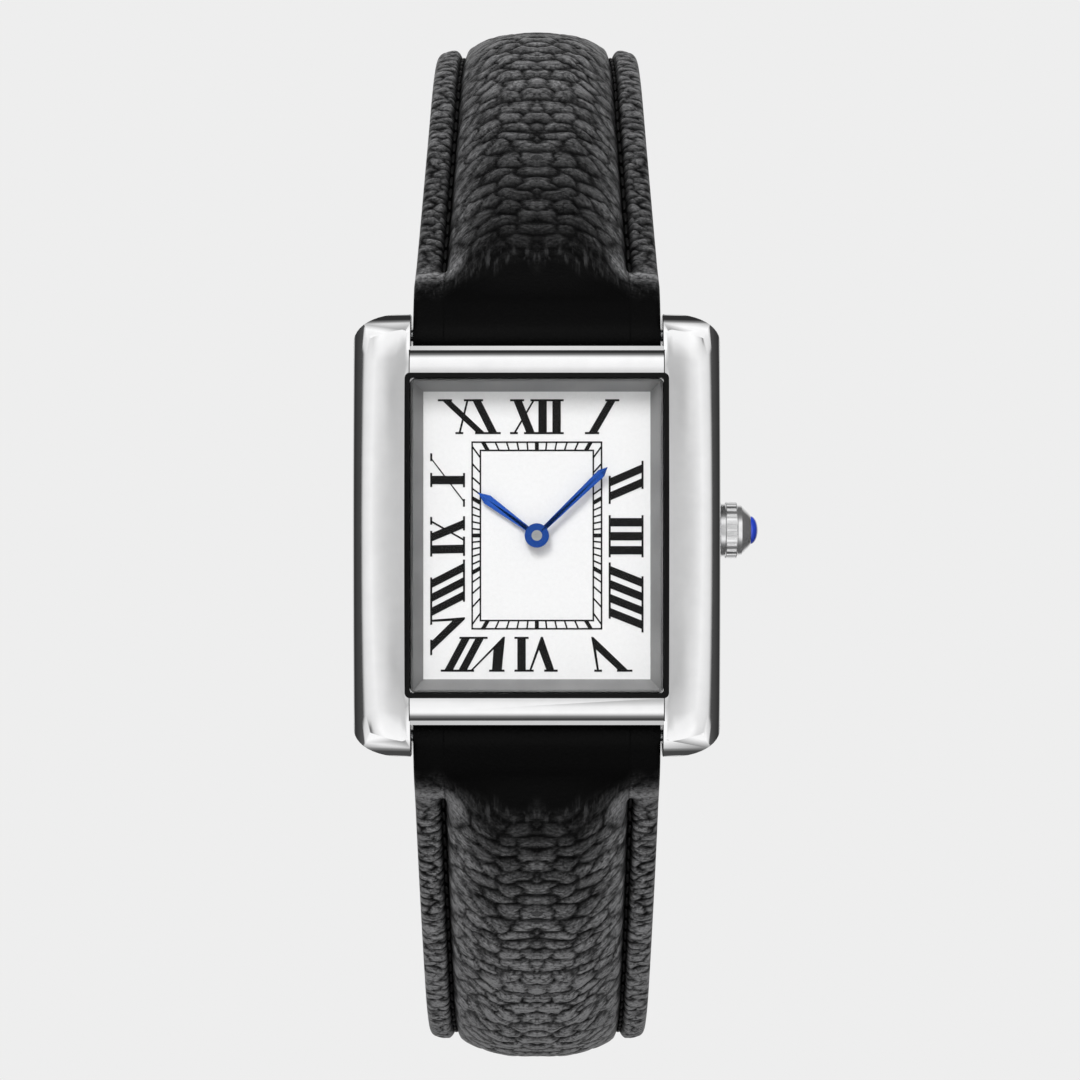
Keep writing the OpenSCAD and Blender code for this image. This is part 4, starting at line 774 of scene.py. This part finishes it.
CIRCLE_SIDES = 32


def circle(r):
    turns = [2 * math.pi * i / CIRCLE_SIDES for i in range(CIRCLE_SIDES)]
    return [(r * math.cos(t), r * math.sin(t)) for t in turns]


def cutter(points):
    """Closed prism between two outlines with the same number of points."""
    n = len(points) // 2
    faces = [tuple(range(n)), tuple(range(2 * n - 1, n - 1, -1))]
    faces += [(i, n + i, n + (i + 1) % n, (i + 1) % n) for i in range(n)]
    piece = new_piece("cutter", points, faces)
    outward(piece)
    return piece


def peg(strap, s, outline, reach):
    """Cutter through the strap, with an outline of points (across, along)."""
    y, z, a = strap.at(s)
    points = []
    for h in (-reach, reach):
        for px, py in outline:
            along, out = y + py * math.cos(a) + h * math.sin(a), z - py * math.sin(a) + h * math.cos(a)
            points.append((px * MM, -out * MM, strap.sign * along * MM))
    return cutter(points)


def crossbore(strap, s, h, r):
    """Cutter for a bar that runs across the strap."""
    y, z, a = strap.at(s)
    y, z = y + h * math.sin(a), z + h * math.cos(a)
    return cutter([(x * MM, -(z + out) * MM, strap.sign * (y + along) * MM)
                   for x in (-STRAP_W, STRAP_W) for along, out in circle(r)])


BAR_BORE_R, BUCKLE_BORE_R, END_ROLL_R, END_BLOCK = 0.71, 0.56, 0.8, 2.2
BUCKLE_BAR_H = LINING_LOW + END_ROLL_R


TONGUE_SLOT = ((-1.05, -4.4), (1.05, -4.4), (1.05, 3.0), (-1.05, 3.0))


def openings(strap):
    """Bores, tongue slot and strap holes of one half."""
    made = [crossbore(strap, 0.0, 0.0, BAR_BORE_R)]
    if strap.upper:
        made.append(crossbore(strap, strap.end, BUCKLE_BAR_H, BUCKLE_BORE_R))
        made.append(peg(strap, strap.end, TONGUE_SLOT, 4.0))
    else:
        first = strap.length - HOLES_TO_TIP - HOLE_PITCH * HOLE_COUNT
        made += [peg(strap, first + i * HOLE_PITCH, circle(HOLE_D / 2), 3.0) for i in range(HOLE_COUNT)]
    return made


def round_h(r, s):
    return math.sqrt(max(0.0, r * r - s * s))


def cover_profile(strap, hide):
    def profile(s):
        half = float(strap.half_w(max(s, 0.0)))
        half_x = across(half, float(strap.seam(s)))
        x = np.concatenate([half_x[::-1], -half_x[1:]])
        tone, plain = np.full(x.shape, 0.5), np.full(x.shape, 1.0 if s < 0 else 0.3)
        if s < 0:
            top, low = np.full(x.shape, round_h(ROLL_R, s)), -round_h(ROLL_R, s)
        elif strap.upper and s > strap.end:
            top = np.full(x.shape, BUCKLE_BAR_H + round_h(END_ROLL_R, s - strap.end))
            low = BUCKLE_BAR_H - round_h(END_ROLL_R, s - strap.end)
        else:
            top, tone, plain = cover_top(strap, x, s, half, hide)
            folded = s < ROLL_LEN - 0.01 or (strap.upper and s > strap.end - END_BLOCK + 0.01)
            low = LINING_LOW if folded else LINING_TOP
        under = np.linspace(-half, half, 14)
        return (np.concatenate([x, under]), np.concatenate([top, np.full(14, low)]),
                np.concatenate([tone, np.full(14, 0.4)]), np.concatenate([plain, np.full(14, plain[0])]))
    return profile


ROUND_STEPS = (0.25, 0.48, 0.68, 0.83, 0.93, 0.985)


def cover_stations(strap, step):
    ends = [-k * ROLL_R for k in ROUND_STEPS[::-1]]
    start = [0.0, 0.4, 0.8, 1.2, ROLL_LEN - 0.05]
    stop = strap.end - END_BLOCK if strap.upper else strap.length - 0.02
    body = list(np.linspace(ROLL_LEN, stop, max(2, int((stop - ROLL_LEN) / step))))
    if not strap.upper:
        return ends + start + body
    tail = [strap.end - END_BLOCK + 0.05, strap.end - 1.5, strap.end - 0.75, strap.end]
    return ends + start + body + tail + [strap.end + END_ROLL_R * k for k in ROUND_STEPS]


class WATCH_OT_covers(bpy.types.Operator):
    """Padded top leather of both strap halves"""
    bl_idname = "watch.covers"
    bl_label = "Strap covers"

    def execute(self, context):
        hide = settings("leather")
        for strap in HALVES:
            piece = loft(strap.name + "_cover", strap, cover_stations(strap, hide.grid / MM),
                         cover_profile(strap, hide), True)
            cut(piece, openings(strap))
            smooth(piece, 50.0)
            give(piece, "strap_leather")
            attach(piece, strap.body)
            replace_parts(piece, strap.name + "_strap_leather", strap.name + "_strap_filler")
        return {"FINISHED"}


class WATCH_OT_linings(bpy.types.Operator):
    """Lining leather against the wrist"""
    bl_idname = "watch.linings"
    bl_label = "Strap linings"

    def execute(self, context):
        for strap in HALVES:
            def profile(s):
                half = float(strap.half_w(s)) - 0.02
                r = min(0.22, half / 4)
                x = [half, half, half - 0.05, -half + 0.05, -half, -half, -half + 0.3 * r, -half + r]
                h = [LINING_LOW + r, LINING_TOP - 0.05, LINING_TOP, LINING_TOP, LINING_TOP - 0.05,
                     LINING_LOW + r, LINING_LOW + 0.3 * r, LINING_LOW]
                inner = list(np.linspace(-half + r, half - r, 10)[1:-1])
                x += inner + [half - r, half - 0.3 * r]
                h += [LINING_LOW] * len(inner) + [LINING_LOW, LINING_LOW + 0.3 * r]
                return x, h, [0.0] * len(x), [0.0] * len(x)
            stop = strap.end - END_BLOCK if strap.upper else strap.length - 0.02
            stations = np.linspace(ROLL_LEN, stop, int((stop - ROLL_LEN) / 0.5))
            piece = loft(strap.name + "_lining", strap, stations, profile, False)
            cut(piece, openings(strap))
            smooth(piece, 40.0)
            give(piece, "strap_lining")
            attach(piece, strap.body)
            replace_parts(piece, strap.name + "_strap_lining")
        return {"FINISHED"}


# Stitches, laid along the seams by a node tree

def group_socket(tree, name, kind, default=None, direction="INPUT"):
    socket = tree.interface.new_socket(name=name, in_out=direction, socket_type=kind)
    if default is not None:
        socket.default_value = default
    return socket.identifier


def stitch_tree():
    """Node tree that sets rounded stitches along a polyline."""
    tree = bpy.data.node_groups.new("Stitch run", "GeometryNodeTree")
    ids = {name: group_socket(tree, name, "NodeSocket" + kind, default) for name, kind, default in (
        ("Seam", "Geometry", None), ("Pitch", "Float", 1.45 * MM), ("Length", "Float", 1.15 * MM),
        ("Thread", "Float", 0.3 * MM), ("Lean", "Float", math.radians(6.0)), ("Seed", "Int", 4),
        ("Material", "Material", None),
    )}
    group_socket(tree, "Stitches", "NodeSocketGeometry", direction="OUTPUT")
    made = NodeTree(tree)
    into = made.node("NodeGroupInput").outputs
    curve = made.node("GeometryNodeMeshToCurve", {"Mesh": into["Seam"]}).outputs["Curve"]
    spaced = made.node("GeometryNodeResampleCurve", {"Curve": curve, "Length": into["Pitch"]}, mode="LENGTH")
    ball = made.node("GeometryNodeMeshUVSphere", {"Segments": 8, "Rings": 6, "Radius": 0.5})
    tangent = made.node("GeometryNodeInputTangent").outputs["Tangent"]
    turn = made.node("FunctionNodeAlignRotationToVector", {"Vector": tangent}, axis="X")
    spread = {"Min": made.math("MULTIPLY", into["Lean"], -1.0), "Max": into["Lean"], "Seed": into["Seed"]}
    wobble = made.node("FunctionNodeRandomValue", spread, data_type="FLOAT")
    lean = made.node("ShaderNodeCombineXYZ", {"Z": wobble.outputs["Value"]})
    euler = made.node("FunctionNodeEulerToRotation", {"Euler": lean.outputs["Vector"]})
    turns = {"Rotation": turn.outputs["Rotation"], "Rotate By": euler.outputs["Rotation"]}
    spin = made.node("FunctionNodeRotateRotation", turns, rotation_space="LOCAL")
    size = made.node("ShaderNodeCombineXYZ", {"X": into["Length"], "Y": into["Thread"], "Z": into["Thread"]})
    place = made.node("GeometryNodeInstanceOnPoints", {
        "Points": spaced.outputs["Curve"], "Instance": ball.outputs["Mesh"],
        "Rotation": spin.outputs["Rotation"], "Scale": size.outputs["Vector"]})
    real = made.node("GeometryNodeRealizeInstances", {"Geometry": place.outputs["Instances"]})
    soft = made.node("GeometryNodeSetShadeSmooth", {"Geometry": real.outputs["Geometry"]})
    dye = made.node("GeometryNodeSetMaterial", {
        "Geometry": soft.outputs["Geometry"], "Material": into["Material"]})
    made.node("NodeGroupOutput", {"Stitches": dye.outputs["Geometry"]})
    return tree, ids


def seam_lines(strap):
    """Points of the stitched seams on the top and under the lining."""
    stop = strap.end - SEAM_TO_END if strap.upper else strap.length - BORDER_W
    steps = np.linspace(SEAM_START, stop, 240)
    lines = []
    for h_of in (lambda s: float(strap.rim(s)) - SEAM_DEPTH + 0.16, lambda s: LINING_LOW + 0.02):
        right = [strap.place(float(strap.seam(s)) + SEAM_SHIFT, s, h_of(s)) for s in steps]
        left = [Vector((-p.x, p.y, p.z)) for p in right]
        lines += [right, left] if strap.upper else [right + left[::-1]]
    return lines


class WATCH_OT_stitches(bpy.types.Operator):
    """Thread in the seams of both strap halves"""
    bl_idname = "watch.stitches"
    bl_label = "Stitches"

    def execute(self, context):
        sewing = settings("stitch")
        tree, ids = stitch_tree()
        for strap in HALVES:
            points, edges = [], []
            for line in seam_lines(strap):
                base = len(points)
                points += line
                edges += [(base + i, base + i + 1) for i in range(len(line) - 1)]
            piece = new_piece(strap.name + "_stitches", points, [], edges)
            run = piece.modifiers.new("stitches", "NODES")
            run.node_group = tree
            run[ids["Pitch"]] = sewing.pitch
            run[ids["Length"]] = sewing.length
            run[ids["Thread"]] = sewing.thread
            run[ids["Seed"]] = 4 if strap.upper else 9
            run[ids["Material"]] = bpy.data.materials["strap_thread"]
            baked(piece)
            if not piece.data.polygons:
                raise RuntimeError("the stitch tree made nothing")
            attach(piece, strap.body)
        return {"FINISHED"}


# Keepers

KEEPER_W, KEEPER_T, KEEPER_ROOM, KEEPER_GROOVE = 5.0, 0.9, 3.8, 1.85
# Place on the upper half, and clearance round the strap, of the fixed and the free keeper
FIXED_AT, FIXED_CLEAR, FREE_AT, FREE_CLEAR = UPPER_LEN - 8.5, 0.03, UPPER_LEN - 17.0, 0.1


def keeper_band(name, s_mid, clear, body):
    """Leather loop round the strap, with a rounded cross-section and a groove near each edge."""
    half = float(UPPER.half_w(s_mid)) + clear + 0.05
    low, high = LINING_LOW - clear, LINING_LOW - clear + KEEPER_ROOM
    corner, turns = 0.55, 9
    ring = []
    for cx, ch, start in ((half - corner, high - corner, 0), (-half + corner, high - corner, 90),
                          (-half + corner, low + corner, 180), (half - corner, low + corner, 270)):
        for i in range(turns):
            t = math.radians(start + 90.0 * i / (turns - 1))
            nx, nh = math.cos(t), math.sin(t)
            ring.append((cx + corner * nx, ch + corner * nh, nx, nh))
    dense = []
    for i, first in enumerate(ring):
        last = ring[(i + 1) % len(ring)]
        parts = max(1, int(math.dist(first[:2], last[:2]) / 0.3))
        for k in range(parts):
            dense.append([p + (q - p) * (k / parts) for p, q in zip(first, last)])
    r, w = 0.28, KEEPER_W / 2
    edge = ((w - 0.3 * r, 0.3 * r), (w, r), (w, KEEPER_T - r), (w - 0.3 * r, KEEPER_T - 0.3 * r))
    band = [(-w + r, 0.0), (w - r, 0.0), *edge]
    band += [(x, KEEPER_T) for x in np.linspace(w - r, -w + r, 18)]
    band += [(-x, out) for x, out in reversed(edge)]
    points = []
    for x, h, nx, nh in dense:
        for ds, out in band:
            top = max(0.0, out / KEEPER_T) ** 4
            dome = float(value_noise(np.array([abs(x) * 0.9 + 20.0]), np.array([ds * 0.9 + 9.0]), 5)[0])
            groove = math.exp(-(((abs(ds) - KEEPER_GROOVE) / 0.2) ** 2)) * top
            lift = out + (0.05 * (dome - 0.6) - 0.16 * groove) * top
            points.append(UPPER.place(x + nx * lift, s_mid + ds, h + nh * lift))
    piece = new_piece(name, points, rings_to_faces(len(dense), len(band), closed=True))
    outward(piece)
    smooth(piece, 50.0)
    give(piece, "keeper_leather")
    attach(piece, body)
    return piece


class WATCH_OT_keepers(bpy.types.Operator):
    """Fixed and free keeper of the strap"""
    bl_idname = "watch.keepers"
    bl_label = "Keepers"

    def execute(self, context):
        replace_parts(keeper_band("fixed_loop", FIXED_AT, FIXED_CLEAR, "upper_strap"), "fixed_keeper")
        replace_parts(keeper_band("free_loop", FREE_AT, FREE_CLEAR, "free_keeper"), "free_keeper")
        return {"FINISHED"}


# Nodes with rounded edges, and how wide beside the edge setting
ROUNDING = {
    "case": 1.0, "case_back": 1.2, "case_back_screws": 0.8, "crown": 0.7, "crown_cabochon": 0.4,
    "buckle_frame": 5.0, "buckle_tongue": 3.0, "buckle_bar": 1.0, "crystal": 0.6,
}


class WATCH_OT_metalwork(bpy.types.Operator):
    """Case, case back, crown and buckle with rounded edges"""
    bl_idname = "watch.metalwork"
    bl_label = "Case, crown and buckle"

    def execute(self, context):
        metal = settings("metal")
        for node, k in ROUNDING.items():
            dressed_copy(node, metal.edge * k, metal.edge_steps)
        return {"FINISHED"}


class WATCH_OT_carried_over(bpy.types.Operator):
    """Finish of every CAD node that shows as it is"""
    bl_idname = "watch.carried_over"
    bl_label = "Dial, hands and movement"

    def execute(self, context):
        for name, node in frame["nodes"].items():
            give(node, slot_of(name))
        return {"FINISHED"}


class WATCH_OT_finishes(bpy.types.Operator):
    """Materials of the watch"""
    bl_idname = "watch.finishes"
    bl_label = "Materials"

    def execute(self, context):
        for plain in list(bpy.data.materials):
            plain.name = "cad_" + plain.name
        finishes()
        return {"FINISHED"}


# Stage

CAMERA_AT = (0.000203, -0.2419, -0.000292)
LENS = 123.4
# Studio seen in polished steel: brightness by how far a direction turns away from the camera,
# where -1 is straight back at it and 0 is at right angles
SIDE_ZONES = (
    (-1.0, 0.60), (-0.94, 0.72), (-0.82, 0.97), (-0.70, 0.84), (-0.64, 0.72), (-0.58, 0.07), (0.0, 0.05))
HIGH_ZONES = (
    (-1.0, 0.60), (-0.95, 0.52), (-0.86, 0.98), (-0.74, 1.12), (-0.62, 0.72), (-0.46, 0.22), (-0.2, 0.03),
    (0.0, 0.03))


class StageNodes(NodeTree):
    """Node tree of the world or the floor, with what the watch sees in each direction from its middle."""

    def __init__(self, tree, direction):
        super().__init__(tree)
        self.ray = self.node("ShaderNodeLightPath").outputs
        self.split = self.node("ShaderNodeSeparateXYZ", {"Vector": direction}).outputs

    def zones(self, stops):
        made = self.node("ShaderNodeFloatCurve", {"Value": self.math("ADD", self.split["Y"], 1.0)})
        curve = made.mapping.curves[0]
        made.mapping.use_clip = False
        while len(curve.points) < len(stops):
            curve.points.new(0.5, 0.5)
        for point, (place, level) in zip(curve.points, stops):
            point.location = (place + 1.0, level)
            point.handle_type = "VECTOR"
        made.mapping.update()
        return made.outputs["Value"]

    def studio(self):
        """Bright panels and dark cards round the watch."""
        across, up = (self.math("ABSOLUTE", self.split[axis]) for axis in ("X", "Z"))
        sideways = self.ramp(self.math("SUBTRACT", across, up), 0.0, 1.0, -0.12, 0.12, "SMOOTHSTEP")
        side = self.math("MULTIPLY", self.zones(SIDE_ZONES), sideways)
        high = self.math("MULTIPLY", self.zones(HIGH_ZONES), self.math("SUBTRACT", 1.0, sideways))
        behind = self.ramp(self.split["Y"], 0.0, 0.8, 0.55, 0.95, "SMOOTHSTEP")
        return self.math("ADD", self.math("ADD", side, high), behind)

    def background(self, studio, level):
        """Colour of the background: plain to the camera and through glass, and behind the cards in metal."""
        mirrored = self.ray["Is Glossy Ray"]
        cards = self.math("MULTIPLY", studio, mirrored)
        plain = self.math("MULTIPLY", self.math("SUBTRACT", 1.0, mirrored), level)
        return self.math("ADD", cards, plain)

    def seen(self):
        """1 for rays that see the background: from the camera, in metal and through glass."""
        direct = self.math("MAXIMUM", self.ray["Is Camera Ray"], self.ray["Is Transmission Ray"])
        return self.math("MAXIMUM", direct, self.ray["Is Glossy Ray"])

    def mixed(self, share, first, second):
        """Shows the second shader by its share, and the first for the rest."""
        return self.node("ShaderNodeMixShader", {"Fac": share, 1: first, 2: second}).outputs["Shader"]


def backdrop_world(world, background):
    world.use_nodes = True
    nodes = world.node_tree.nodes
    nodes.clear()
    made = StageNodes(world.node_tree, nodes.new("ShaderNodeTexCoord").outputs["Generated"])
    studio = made.studio()
    light, pale = (made.node("ShaderNodeBackground", {"Color": colour}).outputs["Background"]
                   for colour in (studio, made.background(studio, background)))
    made.node("ShaderNodeOutputWorld", {"Surface": made.mixed(made.seen(), light, pale)})


# Room under the watch at rest, in which the lower strap half swings
SWING_ROOM = 0.030
SHADOW_SHARE, SHADOW_NEAR, SHADOW_FAR, FLOOR_GREY, FLOOR_HALF = 0.07, 0.08, 0.22, 0.68, 2.0


def floor_material(background):
    """Pale floor that keeps part of the watch's shadow near the watch."""
    mat = bpy.data.materials.new("pale_floor")
    mat.use_nodes = True
    nodes, base = mat.node_tree.nodes, NodeTree(mat.node_tree)
    place = base.node("ShaderNodeTexCoord").outputs["Object"]
    away = base.node("ShaderNodeVectorMath", {0: place}, operation="NORMALIZE").outputs["Vector"]
    reach = base.node("ShaderNodeVectorMath", {0: place}, operation="LENGTH").outputs["Value"]
    made = StageNodes(mat.node_tree, away)
    plain = nodes["Principled BSDF"]
    made.put((FLOOR_GREY, FLOOR_GREY, FLOOR_GREY, 1.0), plain.inputs["Base Color"])
    made.put(0.9, plain.inputs["Roughness"])
    glow = made.node("ShaderNodeEmission", {"Color": made.background(made.studio(), background)})
    share = made.ramp(reach, 1.0 - SHADOW_SHARE, 1.0, SHADOW_NEAR, SHADOW_FAR, "SMOOTHSTEP")
    seen = made.math("MULTIPLY", made.seen(), share)
    made.put(made.mixed(seen, plain.outputs["BSDF"], glow.outputs["Emission"]),
             nodes["Material Output"].inputs["Surface"])
    return mat


def softbox(name, at, aim, size, power):
    data = bpy.data.lights.new(name, "AREA")
    data.shape = "RECTANGLE"
    data.size, data.size_y = size
    data.energy = power
    lamp = bpy.data.objects.new(name, data)
    lamp.location = at
    lamp.rotation_euler = (Vector(aim) - Vector(at)).to_track_quat("-Z", "Y").to_euler()
    lamp.visible_glossy = False
    bpy.context.scene.collection.objects.link(lamp)


class WATCH_OT_stage(bpy.types.Operator):
    """Camera, floor, backdrop and lamps"""
    bl_idname = "watch.stage"
    bl_label = "Stage"

    def execute(self, context):
        scene, stage = context.scene, settings("stage")
        scene.view_settings.view_transform = "Standard"
        data = bpy.data.cameras.new("camera")
        data.lens, data.sensor_width = LENS, 36.0
        data.clip_start = 0.005
        camera = bpy.data.objects.new("camera", data)
        camera.location = CAMERA_AT
        camera.rotation_euler = (math.radians(90.0), 0.0, 0.0)
        scene.collection.objects.link(camera)
        scene.camera = camera
        scene.world = scene.world or bpy.data.worlds.new("studio")
        backdrop_world(scene.world, stage.background)
        low = min(corner[2] for corner in CAD_BOX) - SWING_ROOM
        corners = [(FLOOR_HALF * x, FLOOR_HALF * y, low) for x, y in ((-1, -1), (1, -1), (1, 1), (-1, 1))]
        floor = new_piece("floor", corners, [(0, 1, 2, 3)])
        floor.data.materials.append(floor_material(stage.background))
        softbox("key_softbox", (-0.08, -0.32, 0.25), (0, 0, 0), (0.14, 0.14), stage.key)
        softbox("front_fill", (0.0, -0.60, 0.05), (0, 0, 0), (0.50, 0.50), stage.fill)
        softbox("strap_strip", (0.0, 0.20, 0.27), (0, 0.02, 0.02), (0.50, 0.07), stage.strip)
        return {"FINISHED"}


class WATCH_PT_sidebar(bpy.types.Panel):
    """Settings and build steps of the watch"""
    bl_label = "Square watch"
    bl_idname = "WATCH_PT_sidebar"
    bl_space_type = "VIEW_3D"
    bl_region_type = "UI"
    bl_category = "Watch"

    def draw(self, context):
        for title, kind in GROUPS.items():
            box = self.layout.box()
            box.label(text=title.capitalize())
            for field in kind.__annotations__:
                box.prop(settings(title), field)
        for step in STEPS:
            self.layout.operator(step.bl_idname)


GROUPS = {
    "leather": WatchLeatherSettings, "stitch": WatchStitchSettings, "metal": WatchMetalSettings,
    "dial": WatchDialSettings, "stage": WatchStageSettings,
}
STEPS = (
    WATCH_OT_stage, WATCH_OT_finishes, WATCH_OT_carried_over, WATCH_OT_metalwork, WATCH_OT_covers,
    WATCH_OT_linings, WATCH_OT_stitches, WATCH_OT_keepers,
)
CLASSES = (*GROUPS.values(), *STEPS, WATCH_PT_sidebar)


def register():
    for kind in CLASSES:
        bpy.utils.register_class(kind)
    for title, kind in GROUPS.items():
        setattr(bpy.types.Scene, "watch_" + title, PointerProperty(type=kind))


def unregister():
    for title in GROUPS:
        delattr(bpy.types.Scene, "watch_" + title)
    for kind in reversed(CLASSES):
        bpy.utils.unregister_class(kind)


def main():
    register()
    for step in STEPS:
        family, verb = step.bl_idname.split(".")
        getattr(getattr(bpy.ops, family), verb)()


if __name__ == "__main__":
    main()
